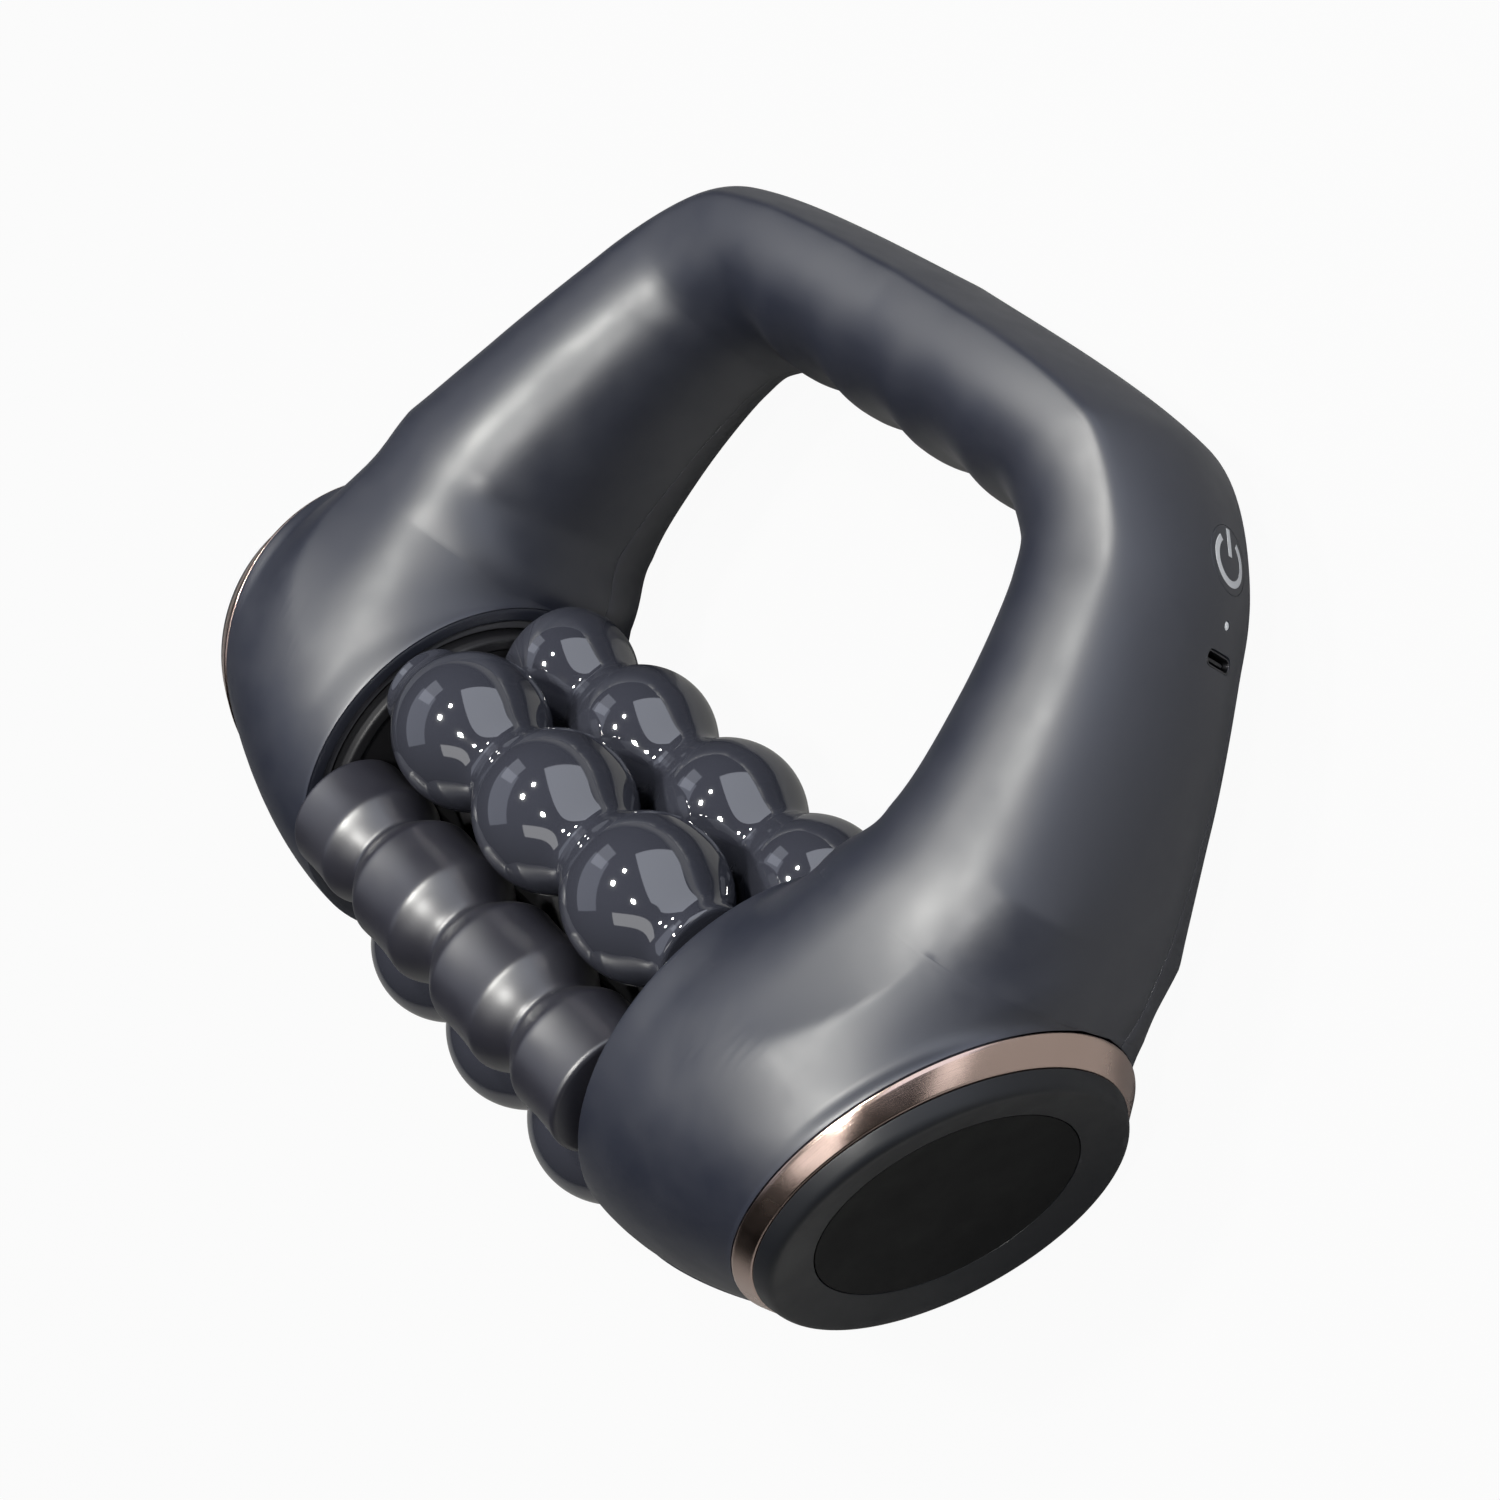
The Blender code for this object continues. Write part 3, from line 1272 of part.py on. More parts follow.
def build():
    """Make every piece."""
    clear_scene()
    slate = make_material("slate_plastic", (0.045, 0.048, 0.06), 0.38, 0.0)
    rose = make_material("rose_gold", (0.72, 0.52, 0.44), 0.28, 1.0)
    black = make_material("black_plastic", (0.012, 0.012, 0.014), 0.5, 0.0)
    insert_black = make_material("insert_black", (0.006, 0.006, 0.007), 0.7, 0.0)
    gloss = make_material("gloss_roller", (0.055, 0.055, 0.065), 0.08, 0.0)
    satin = make_material("satin_roller", (0.015, 0.015, 0.017), 0.33, 0.0)
    carrier = make_material("carrier_plastic", (0.02, 0.02, 0.022), 0.5, 0.0)
    bezel = make_material("bezel_grey", (0.09, 0.09, 0.1), 0.4, 0.0)
    steel = make_material("steel", (0.5, 0.5, 0.5), 0.3, 1.0)
    zinc = make_material("plated_bracket", (0.45, 0.45, 0.43), 0.4, 1.0)
    gear = make_material("gear_plastic", (0.55, 0.53, 0.47), 0.5, 0.0)
    cell = make_material("cell_sleeve", (0.02, 0.09, 0.2), 0.35, 0.0)
    board = make_material("circuit_board", (0.01, 0.09, 0.03), 0.5, 0.0)
    clear = make_material("clear_light", (0.8, 0.82, 0.85), 0.15, 0.0)

    root = bpy.data.objects.new("object_root", None)
    bpy.context.scene.collection.objects.link(root)

    outline = skin_solid("outline", outer_places(), SKIN_SIDES, slate, root)
    blank = housing_blank(slate, root)
    front_shell(blank, slate, root)
    rear_cover(blank, slate, root)
    power_button(outline, slate, root)
    bpy.data.objects.remove(blank, do_unlink=True)
    bpy.data.objects.remove(outline, do_unlink=True)
    case_screws(steel, root)

    for side, word in ((-1, "left"), (1, "right")):
        trim_ring(side, f"trim_ring_{word}", rose, root)
        end_cap(side, f"end_cap_{word}", black, root)
        cap_insert(side, f"cap_insert_{word}", insert_black, root)
        mouth_bezel(side, f"mouth_bezel_{word}", bezel, root)
        carrier_disc(side, f"carrier_disc_{word}", carrier, root)
        bearing_plate(side, f"bearing_plate_{word}", carrier, root)
        drum_bearing(side, f"drum_bearing_{word}", steel, root)

    drum_rollers(gloss, satin, root)
    roller_axles(steel, root)
    drum_core(carrier, root)
    drum_shaft(steel, root)
    drum_gear(gear, root)
    motor_pinion(gear, root)
    gear_motor(steel, root)
    motor_bracket(zinc, root)
    battery_cells(cell, root)
    battery_tray(black, root)
    control_board(board, root)
    button_switch(black, root)
    usb_socket(steel, root)
    light_pipe(clear, root)
    lay_down(root)


build()
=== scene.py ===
# %% [markdown]
# # An electric massage roller, dressed over its frame
#
# The frame holds the solids at their real size, with every joint. This lesson gives them their looks: a
# satin moulded loop, gloss rollers, a rose-gold trim ring and dark end caps. Each piece is a surface worked
# out from a formula over a grid, so its size can be changed by one number.
#
# The object was designed upright, with the drum's axis along X, the front towards -Y and the handle up
# along Z, and it is stored lying on its back. The frame's joints say where that design frame is now, so the
# pieces are worked out upright, in millimetres, and put in place at the end.

# %% Load the frame and find the design axes in it
import json
import math

import bmesh
import bpy
import numpy as np
from mathutils import Matrix, Vector


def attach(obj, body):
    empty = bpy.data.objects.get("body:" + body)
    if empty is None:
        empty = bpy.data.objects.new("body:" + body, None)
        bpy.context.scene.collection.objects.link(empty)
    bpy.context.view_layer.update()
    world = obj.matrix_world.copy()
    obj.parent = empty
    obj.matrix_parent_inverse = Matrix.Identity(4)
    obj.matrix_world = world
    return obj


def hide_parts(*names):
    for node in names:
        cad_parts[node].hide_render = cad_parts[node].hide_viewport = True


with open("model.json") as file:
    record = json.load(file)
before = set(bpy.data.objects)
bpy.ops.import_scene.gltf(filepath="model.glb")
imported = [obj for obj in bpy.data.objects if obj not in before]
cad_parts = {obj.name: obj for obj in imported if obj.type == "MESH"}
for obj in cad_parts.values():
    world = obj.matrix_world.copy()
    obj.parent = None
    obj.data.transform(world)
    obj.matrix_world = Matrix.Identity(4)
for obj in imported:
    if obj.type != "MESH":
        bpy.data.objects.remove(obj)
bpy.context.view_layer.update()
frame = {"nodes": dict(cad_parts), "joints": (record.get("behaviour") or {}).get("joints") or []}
joints = {joint["name"]: joint for joint in frame["joints"]}
MM = 0.001
drum_centre = np.array(joints["drum_spin"]["pos_m"])
handle_way = np.array(joints["roller_1_spin"]["pos_m"]) - drum_centre
handle_way = handle_way / np.linalg.norm(handle_way)
side_way = np.array([1.0, 0.0, 0.0])
back_way = np.cross(handle_way, side_way)
design_axes = np.stack([side_way, back_way, handle_way], axis=1)
print("drum axis at", drum_centre.round(4), "handle points along", handle_way.round(3))


def in_place(points):
    """Design millimetres to the frame's metres: turn by the three design axes, then move to the drum's centre."""
    return drum_centre + (np.asarray(points, float) * MM) @ design_axes.T


# %% [markdown]
# ## Helpers for surfaces
#
# A moulded shape is a grid of points: rows run one way over it and columns the other. Quads between
# neighbours make the surface. A turned part is the same grid, its rows being circles. Faces are then turned
# outwards in one step, which is safer than trusting the order in which the grid was written.

# %% Grids, turned shapes and rounded outlines
MERGE = 0.0005
WIDEN_RUN = (0.8, 3.5)


def grid_quads(rows, columns, closed_columns=False, closed_rows=False):
    """Corner numbers of the quads between neighbouring grid points: number = row * columns + column."""
    row = np.arange(rows if closed_rows else rows - 1)[:, None]
    column = np.arange(columns if closed_columns else columns - 1)[None, :]
    next_row = (row + 1) % rows
    next_column = (column + 1) % columns
    corners = ((row, column), (row, next_column), (next_row, next_column), (next_row, column))
    return np.stack([here * columns + there for here, there in corners], axis=-1).reshape(-1, 4)


def add_piece(name, points, faces, merge=0.0, sharp=40.0, run=None):
    """A mesh object at the frame's origin, from design points and faces, smooth except at sharp angles. Doubles up to
    merge millimetres apart are joined, and run is a length that each point carries for its finish."""
    mesh = bpy.data.meshes.new(name)
    mesh.from_pydata(in_place(points).tolist(), [], [list(face) for face in faces])
    if run is not None:
        mesh.attributes.new("run", "FLOAT", "POINT").data.foreach_set("value", np.asarray(run, np.float32))
    shape = bmesh.new()
    shape.from_mesh(mesh)
    if merge:
        bmesh.ops.remove_doubles(shape, verts=shape.verts, dist=merge * MM)
    bmesh.ops.recalc_face_normals(shape, faces=shape.faces)
    shape.to_mesh(mesh)
    shape.free()
    mesh.shade_smooth()
    mesh.set_sharp_from_angle(angle=math.radians(sharp))
    piece = bpy.data.objects.new(name, mesh)
    bpy.context.scene.collection.objects.link(piece)
    return piece


def rounded(corners, radii, steps=6):
    """A polyline with each corner replaced by a curve: P = (1-t)^2 A + 2t(1-t) C + t^2 B, A and B a radius away."""
    corners = np.asarray(corners, float)
    line = [corners[:1]]
    t = np.linspace(0, 1, steps + 1)[:, None]
    for before, corner, after, radius in zip(corners[:-2], corners[1:-1], corners[2:], radii):
        if radius == 0:
            line.append(corner[None])
            continue
        start = corner + (before - corner) * min(radius / np.linalg.norm(before - corner), 0.5)
        end = corner + (after - corner) * min(radius / np.linalg.norm(after - corner), 0.5)
        line.append((1 - t) ** 2 * start + 2 * t * (1 - t) * corner + t**2 * end)
    line.append(corners[-1:])
    return np.concatenate(line)


def turned_points(profile, steps, squash=1.0):
    """Rows are the profile's (along, radius) points, columns go round X: (along, r cos a, squash r sin a)."""
    angle = np.linspace(0, math.tau, steps, endpoint=False)
    along, radius = np.asarray(profile, float).T[:, :, None]
    return np.stack([along + 0 * angle, radius * np.cos(angle), squash * radius * np.sin(angle)], axis=-1)


def turned_piece(name, profile, steps, squash=1.0, tilt=0.0, centre=(0, 0, 0), lean=0.0, most=0.0, widen=0.0):
    """A closed turned ring or solid. Its sections slip down by lean times the distance outward, most at most, and
    grow wider in y by the share widen along WIDEN_RUN. Tilting about Y sends (x, z) to (x cos + z sin,
    z cos - x sin)."""
    points = turned_points(profile, steps, squash)
    outward = points[..., 0] * (1 if tilt >= 0 else -1)
    points[..., 1] *= 1 + widen * np.clip((outward - WIDEN_RUN[0]) / WIDEN_RUN[1], 0, 1)
    points[..., 2] -= np.minimum(lean * np.maximum(outward, 0), most)
    x = points[..., 0] * math.cos(tilt) + points[..., 2] * math.sin(tilt)
    z = points[..., 2] * math.cos(tilt) - points[..., 0] * math.sin(tilt)
    points = np.stack([x, points[..., 1], z], axis=-1) + np.asarray(centre, float)
    faces = grid_quads(len(points), steps, closed_columns=True, closed_rows=True)
    walk = np.linalg.norm(np.diff(np.asarray(profile, float), axis=0, prepend=[profile[0]]), axis=1)
    run = np.repeat(np.cumsum(walk), steps)
    return add_piece(name, points.reshape(-1, 3), faces, merge=MERGE, run=run)


# %% [markdown]
# ## The housing's shape
#
# The housing is one closed loop: a grip bar on top, two arms, and a barrel at the foot of each. It was
# moulded in two halves, front and rear. Seen from the front, an inner and an outer edge bound it, so the
# shape is given by stations along the loop: where both edges are, how deep the section is, and where on the
# section the ridge runs. In between, smooth curves through the stations do the work. One superellipse
# would give the loop no ridge, and the ridge is what catches the light, so the section is the smaller of two
# curves: the rounded front face and the flatter outer face, joined softly on the arms and crisply on the grip.

# %% Sizes of the housing
GROOVE_PITCH = 21.0
GROOVE_DEPTH = 1.7
MOUTH_HALF = 54.5
MOUTH_RADIUS = 42.4
MOUTH_BORE = 39.0
BARREL_CROWN = 2.5
END_HALF = 103.3
END_HEIGHT = 7.1
END_RADIUS = 43.8
END_SQUASH = 0.93
END_TILT = math.radians(15.0)
END_LEAN = 0.25
END_LEAN_MOST = 1.1
ARM_BLEND = 4.5
END_REACH = END_RADIUS * END_SQUASH * math.cos(END_TILT)
SEAM_DEPTH = 11.0
WALL = 2.2
FOOT_ROUNDS = 6


def end_plane_x(z):
    """The tilted end plane of the barrel: x grows with z by the tangent of the tilt."""
    return END_HALF + (z - END_HEIGHT) * math.tan(END_TILT)


# One column per station: grip middle, grip end, corner start, corner, arm top, arm middle, arm foot,
# barrel top, barrel middle, barrel foot.
STATIONS = np.arange(10)
BARREL_TOP = 7
BARREL_MIDDLE = 8
END_TOP = END_HEIGHT + END_REACH
END_FOOT = END_HEIGHT - END_REACH
INNER_X = (0, 21.8, 37.2, 46.7, 51.5, 57.7, 60.9, MOUTH_HALF, MOUTH_HALF, MOUTH_HALF)
INNER_Z = (117.7, 117.7, 117.2, 112.8, 105.7, 83.5, 59.5, MOUTH_RADIUS, 0, -MOUTH_RADIUS)
OUTER_X = (0, 32.9, 61.4, 86.3, 93.2, 104.5, 111.9, end_plane_x(END_TOP), END_HALF, end_plane_x(END_FOOT))
OUTER_Z = (149.5, 148.3, 145.1, 124.3, 111.1, 86.0, 61.6, END_TOP, END_HEIGHT, END_FOOT)
DEPTH_STATIONS = (0, 1, 2, 3, 4, 5, 6, 7, 7.25, 7.6, 8, 8.5)
DEPTH = (28.0, 28.4, 27.4, 24.8, 26.0, 29.6, 34.0, 36.4, 36.6, 31, 20, 8)
# On the section: where the front face is highest and how it rises and falls, where the ridge runs, how high
# the outer face meets it, how crisp it is, and how full the outer face is.
CREST = (0.20, 0.20, 0.16, 0.10, 0.06, 0.02, 0.0, 0.0, 0.0, 0.0)
CREST_SHAPE = 2.3
RIDGE = (0.64, 0.65, 0.61, 0.50, 0.45, 0.40, 0.40, 0.42, 0.30, 0.26)
RIDGE_DEPTH = (0.87, 0.87, 0.87, 0.94, 0.98, 1.015, 1.025, 1.0, 1.0, 1.0)
RIDGE_CRISP = (60, 60, 50, 26, 13, 9.5, 9, 9, 9, 9)
OUTER_SHAPE = (1.9, 2.0, 2.2, 2.17, 2.07, 2.1, 2.5, 3.0, 2.6, 2.6)
FALL = (0.12, 0.12, 0.12, 0.1, 0.08, 0.06, 0.05, 0.05, 0.05, 0.05)
print("overall width over the end planes", round(2 * max(OUTER_X), 1), "mm")


# %% [markdown]
# ## Smooth curves through the stations
#
# A cubic through each pair of stations, with the slope at each station taken as the harmonic mean of the two
# neighbouring slopes, never overshoots. An ordinary spline would bulge the loop between stations.

# %% A curve that doesn't overshoot, and the two edges
def through(stations, values, wanted):
    """Cubic Hermite pieces. The slope at a station is 2ab / (a + b) of the slopes a and b on both sides of it, or 0
    where they differ in sign."""
    stations = np.asarray(stations, float)
    values = np.asarray(values, float)
    steps = np.diff(stations)
    slopes = np.diff(values) / steps
    same = slopes[:-1] * slopes[1:] > 0
    mean = 2 * slopes[:-1] * slopes[1:] / np.where(same, slopes[:-1] + slopes[1:], 1.0)
    first = 0.0 if values[0] == values[1] else slopes[0]
    tangent = np.concatenate([[first], np.where(same, mean, 0.0), slopes[-1:]])
    piece = np.clip(np.searchsorted(stations, wanted, side="right") - 1, 0, len(steps) - 1)
    step = steps[piece]
    t = (wanted - stations[piece]) / step
    return (
        values[piece] * (1 + 2 * t) * (1 - t) ** 2
        + tangent[piece] * step * t * (1 - t) ** 2
        + values[piece + 1] * t * t * (3 - 2 * t)
        + tangent[piece + 1] * step * t * t * (t - 1)
    )


def loop_edges(station):
    """(x, z) of the inner and outer edge: curves through the stations, the outer one on the end plane along the
    barrel."""
    inner = np.stack([through(STATIONS, INNER_X, station), through(STATIONS, INNER_Z, station)], axis=-1)
    outer = np.stack([through(STATIONS, OUTER_X, station), through(STATIONS, OUTER_Z, station)], axis=-1)
    outer[..., 0] = np.where(station >= BARREL_TOP, end_plane_x(outer[..., 1]), outer[..., 0])
    return inner, outer


def barrel_share(x, z):
    """How far along the barrel a point lies: 0 at the mouth, 1 on the tilted end plane."""
    return np.clip((x - MOUTH_HALF) / (end_plane_x(z) - MOUTH_HALF), 0, 1)


def barrel_reach(along):
    """Half-height of the barrel: straight from the mouth to the end, with a crown between."""
    return MOUTH_RADIUS * (1 - along) + END_REACH * along + BARREL_CROWN * 4 * along * (1 - along)


def barrel_depth(x, z):
    """Half-depth of the barrel: a circle at the mouth, the tilted oval at the end, straight between, with a crown."""
    along = barrel_share(x, z)
    depth = MOUTH_RADIUS * (1 - along) + END_RADIUS * along + BARREL_CROWN * 4 * along * (1 - along)
    height = (z - END_HEIGHT * along) / barrel_reach(along)
    return depth * np.sqrt(np.clip(1 - height * height, 0, 1))


def bowed_foot(x, z, share):
    """Heights below the barrel's middle, stretched so that the last row lies on the crowned foot, where the depth is
    0. The crown moves the foot, and the foot the share along the barrel, so a few rounds settle both."""
    middle_z = END_HEIGHT * share
    straight_foot = -MOUTH_RADIUS * (1 - share) + END_FOOT * share
    foot = straight_foot
    for _ in range(FOOT_ROUNDS):
        along = barrel_share(x, foot)
        foot = END_HEIGHT * along - barrel_reach(along)
    down = np.clip((middle_z - z) / (middle_z - straight_foot), 0, 1)
    return z + down * (foot - straight_foot)


# %% [markdown]
# ## The section across the loop
#
# Across the section, -1 is the inner edge and +1 the outer edge. The front face is a superellipse from the
# inner edge up to its crest and then falls gently. The outer face is a flat curve from the outer edge. The
# real surface follows whichever is lower, and a soft minimum of the two rounds the ridge between them: with
# a large power the ridge is crisp, as on the grip, and with a small one it is a soft shoulder.

# %% Section depth
OUTER_LIFT = 1.02
LEAST_SHARE = 1e-6
GROOVE_SOFT = 0.3
GROOVE_END = 3.2
GROOVE_FADE = 1.7


def section_depth(across, station):
    """Soft minimum (a^-k + b^-k)^(-1/k) of the front face a and the outer face b, divided by its largest value."""
    crest = through(STATIONS, CREST, station)[:, None]
    ridge = through(STATIONS, RIDGE, station)[:, None]
    ridge_depth = through(STATIONS, RIDGE_DEPTH, station)[:, None]
    crisp = through(STATIONS, RIDGE_CRISP, station)[:, None]
    outer_shape = through(STATIONS, OUTER_SHAPE, station)[:, None]
    fall = through(STATIONS, FALL, station)[:, None]
    rise = np.clip((crest - across) / (1 + crest), 0, 1)
    past = np.clip((across - crest) / (1 - crest), 0, 1)
    front = (1 - rise**CREST_SHAPE) ** (1 / CREST_SHAPE) * (1 - fall * past**2)
    outer = OUTER_LIFT * ridge_depth * (np.clip(1 - across, 0, 2) / (1 - ridge)) ** (1 / outer_shape)
    front = np.maximum(front, LEAST_SHARE)
    outer = np.maximum(outer, LEAST_SHARE)
    depth = (front**-crisp + outer**-crisp) ** (-1 / crisp)
    return depth / depth.max(axis=1, keepdims=True)


def finger_dimples(points_x, across, station):
    """How far the finger grooves move the grip's underside: sqrt(cos^2(pi x / pitch) + s^2), scaled to run from -1 to
    0, times the depth. They fade out across the section and past the grip."""
    most = math.hypot(1, GROOVE_SOFT)
    wave = np.sqrt(np.cos(math.pi * points_x / GROOVE_PITCH) ** 2 + GROOVE_SOFT**2)
    wave = (wave - most) / (most - GROOVE_SOFT)
    on_grip = np.clip(GROOVE_END - station, 0, 1)[:, None]
    fade = np.clip((0.35 - across) / 1.35, 0, 1) ** GROOVE_FADE
    return GROOVE_DEPTH * wave * on_grip * fade


# %% [markdown]
# ## The crease on the barrel
#
# The ridge of the arm doesn't die at the barrel. It bends inward over the barrel's front, as a convex crease,
# and fades out half-way down. On the mouth side the surface climbs to it ever more steeply; on the end's side
# it starts level and eases down to the barrel's own curve. Where the arm runs into the barrel, the sections
# are evened along the loop first, so that only the crease breaks the surface.

# %% Relief of the crease
CREASE_LINE = ((97.0, 66), (97.6, 54), (97.6, 44), (96.6, 36), (93.8, 28.5), (89.0, 20.5), (81.5, 13.0), (70.0, 7.0))
CREASE_STRENGTH = (0.0, 0.25, 0.6, 0.9, 1.0, 0.9, 0.5, 0.0)
CREASE_RISE = 1.5
CREASE_REACH = (18.0, 15.0)
CREASE_POINTS = 90
CREASE_END_FADE = 4.0
EVEN_WIDTH = 8.0
EVEN_ROWS = (5.0, 6.0, 7.6, 8.3)
EVEN_COLUMNS = (-0.98, -0.66, 0.85, 0.99)


def crease_relief(x, z):
    """Rise times strength times a profile of the signed distance d to the line: (1 + d / a)^3 on the mouth's side,
    1 - 3t^2 + 2t^3 with t = d / b on the end's side."""
    knots = np.arange(len(CREASE_LINE))
    fine = np.linspace(0, knots[-1], CREASE_POINTS)
    line = np.stack([through(knots, column, fine) for column in np.array(CREASE_LINE).T], axis=-1)
    strength = through(knots, CREASE_STRENGTH, fine)
    away = np.stack([x, z], axis=-1)[..., None, :] - line
    nearest = np.argmin((away**2).sum(-1), axis=-1)
    along = np.gradient(line, axis=0)
    along /= np.linalg.norm(along, axis=-1, keepdims=True)
    gap = np.take_along_axis(away, nearest[..., None, None], axis=-2)[..., 0, :]
    way = along[nearest]
    distance = -gap[..., 0] * way[..., 1] + gap[..., 1] * way[..., 0]
    inside, outside = CREASE_REACH
    t = np.clip(distance / outside, 0, 1)
    profile = np.where(distance < 0, np.clip(1 + distance / inside, 0, 1) ** 3, 1 - 3 * t**2 + 2 * t**3)
    far = np.linalg.norm(gap, axis=-1)
    beyond = np.clip((far - np.abs(distance)) / CREASE_END_FADE, 0, 1)
    return CREASE_RISE * strength[nearest] * profile * (1 - beyond)


def eased_step(value, start, end):
    """0 before start, 1 after end, 3t^2 - 2t^3 between."""
    t = np.clip((value - start) / (end - start), 0, 1)
    return t * t * (3 - 2 * t)


def eased_band(value, start, full, leave, end):
    """A smooth rise from start to full times a smooth fall from leave to end."""
    return eased_step(value, start, full) * (1 - eased_step(value, leave, end))


def evened(depth, plane, station, across):
    """Where the arm runs into the barrel, each row is the mean of its neighbours with weight e^(-(s - s')^2 / 2w^2),
    s the length along the loop. The columns at the mouth and at the end keep their own depth."""
    length = np.linalg.norm(np.diff(plane[:, plane.shape[1] // 2], axis=0), axis=1)
    length = np.concatenate([[0], np.cumsum(length)])
    weight = np.exp(-(((length[:, None] - length) / EVEN_WIDTH) ** 2) / 2) * np.gradient(length)
    weight /= weight.sum(axis=1, keepdims=True)
    share = eased_band(station, *EVEN_ROWS)[:, None] * eased_band(across, *EVEN_COLUMNS)
    return depth * (1 - share) + (weight @ depth) * share


# %% [markdown]
# ## The skin's grid
#
# Rows are sections along the right half of the loop, columns run across each section. Columns crowd at both
# edges, where the surface turns quickly. In the barrel the last columns sit on the flat mouth and end, so
# they are spread almost evenly.

# %% Half of the skin's front
ACROSS_STEPS = 76
FACE_SHARE = 0.9985
UPPER_ROWS = 150
BARREL_ROWS = 60
SHORT_OF_END = 1e-5


def skin_rows():
    """Stations of the rows: even along the grip and arms, and by a cosine down the barrel so its foot stays round."""
    upper = np.linspace(0, BARREL_TOP, UPPER_ROWS)[:-1]
    lower = BARREL_MIDDLE - np.cos(np.linspace(0, math.pi, BARREL_ROWS))
    lower[-1] -= SHORT_OF_END
    return np.concatenate([upper, lower])


def skin_front(station):
    """Front face points (station, across, xyz) from the inner to the outer edge, y = -depth. The depth is the soft
    maximum (arm^p + barrel^p)^(1/p), evened along the loop, with the crease on top."""
    inner, outer = loop_edges(station)
    in_barrel = np.clip(station - (BARREL_TOP - 1), 0, 1)[:, None]
    turn = np.linspace(0, math.pi, ACROSS_STEPS + 1)[None, :]
    rounded_across = -np.cos(turn)
    even_across = np.interp(turn, (0, turn[0, 1], turn[0, -2], math.pi), (-1, -FACE_SHARE, FACE_SHARE, 1))
    across = rounded_across * (1 - in_barrel) + even_across * in_barrel
    share = (across + 1) / 2
    plane = inner[:, None] * (1 - share[..., None]) + outer[:, None] * share[..., None]
    plane[..., 1] += finger_dimples(plane[..., 0], across, station)
    plane[..., 1] = bowed_foot(plane[..., 0], plane[..., 1], share)
    half_depth = through(DEPTH_STATIONS, DEPTH, np.minimum(station, DEPTH_STATIONS[-1]))
    arm = half_depth[:, None] * section_depth(across, station)
    barrel = barrel_depth(plane[..., 0], plane[..., 1])
    depth = (arm**ARM_BLEND + barrel**ARM_BLEND) ** (1 / ARM_BLEND)
    depth = evened(depth, plane, station, across)
    depth = depth + crease_relief(plane[..., 0], plane[..., 1])
    depth[:, [0, -1]] = 0
    return np.stack([plane[..., 0], -depth, plane[..., 1]], axis=-1)


front = skin_front(skin_rows())
print("front grid", front.shape, "deepest point", round(-front[..., 1].min(), 1), "mm")


# %% [markdown]
# ## Front shell and rear cover
#
# Both halves are moulded shells that meet at a plane behind the middle. The whole outside is built once as
# a closed tube of sections, and bisecting it by the seam plane gives two open skins whose edges match. A
# wall thickness then makes each one a real shell. The flat faces at the mouths and ends are left out, so
# that the wall gives the barrels their rims.

# %% Whole outside, cut at the seam
SEAM_GAP = 0.06
RIM = 0.35
SHELL_SHARP = 60.0


def whole_skin():
    """All points of the loop: the right half's front and mirrored rear, then the left half mirrored in X."""
    right = skin_front(skin_rows())
    rear = right[:, -2:0:-1] * np.array([1, -1, 1])
    right = np.concatenate([right, rear], axis=1)
    left = right[:0:-1] * np.array([-1, 1, 1])
    return np.concatenate([left, right])


def open_tube_faces(rings, columns):
    """Quads of the tube without the flat faces of mouths and ends, which the bores and the caps take up."""
    faces = grid_quads(rings, columns, closed_columns=True).reshape(rings - 1, columns, 4)
    keep = np.ones((rings - 1, columns), bool)
    edge = columns // 2
    flat = [0, columns - 1, edge - 1, edge]
    barrel_rows = np.r_[0 : BARREL_ROWS - 1, rings - BARREL_ROWS : rings - 1]
    keep[np.ix_(barrel_rows, flat)] = False
    return faces[keep]


def shell_half(name, sign, points, faces):
    """One side of the seam plane, given its wall and softened rims."""
    piece = add_piece(name, points, faces, merge=MERGE, sharp=SHELL_SHARP)
    shape = bmesh.new()
    shape.from_mesh(piece.data)
    origin = in_place([[0, SEAM_DEPTH + sign * SEAM_GAP, 0]])[0]
    geometry = [*shape.verts, *shape.edges, *shape.faces]
    keep_side = sign * -back_way
    bmesh.ops.bisect_plane(shape, geom=geometry, dist=1e-7, plane_co=origin, plane_no=keep_side, clear_outer=True)
    shape.to_mesh(piece.data)
    shape.free()
    wall = piece.modifiers.new("wall", "SOLIDIFY")
    wall.thickness = WALL * MM
    wall.offset = -1
    rim = piece.modifiers.new("rim", "BEVEL")
    rim.width = RIM * MM
    rim.segments = 2
    rim.angle_limit = math.radians(SHELL_SHARP)
    return piece


points = whole_skin()
faces = open_tube_faces(len(points), points.shape[1])
front_skin = shell_half("front_shell_skin", -1, points.reshape(-1, 3), faces)
rear_skin = shell_half("rear_cover_skin", 1, points.reshape(-1, 3), faces)
print("skins", len(front_skin.data.polygons), len(rear_skin.data.polygons), "faces before their walls")


# %% [markdown]
# ## Barrel mouths
#
# Each mouth is a thick round lip with a bore behind it. It is a turned ring: the lip's outer corner is
# rounded more than its inner one, so a thin line of light runs round the edge.

# %% Lips inside the front shell's mouths
def mouth_lip(side):
    """A turned lip from the barrel's outside, round the edge and back into the bore."""
    start = (60, MOUTH_RADIUS - 0.3)
    corners = [start, (MOUTH_HALF, MOUTH_RADIUS - 0.02), (MOUTH_HALF, MOUTH_BORE)]
    corners += [(64, MOUTH_BORE), (64, MOUTH_BORE + 1.6), start]
    line = rounded(corners, [1.3, 0.7, 0.3, 0.3])[:-1] * np.array([side, 1])
    return turned_piece(f"mouth_lip_{'right' if side > 0 else 'left'}", line, 160)


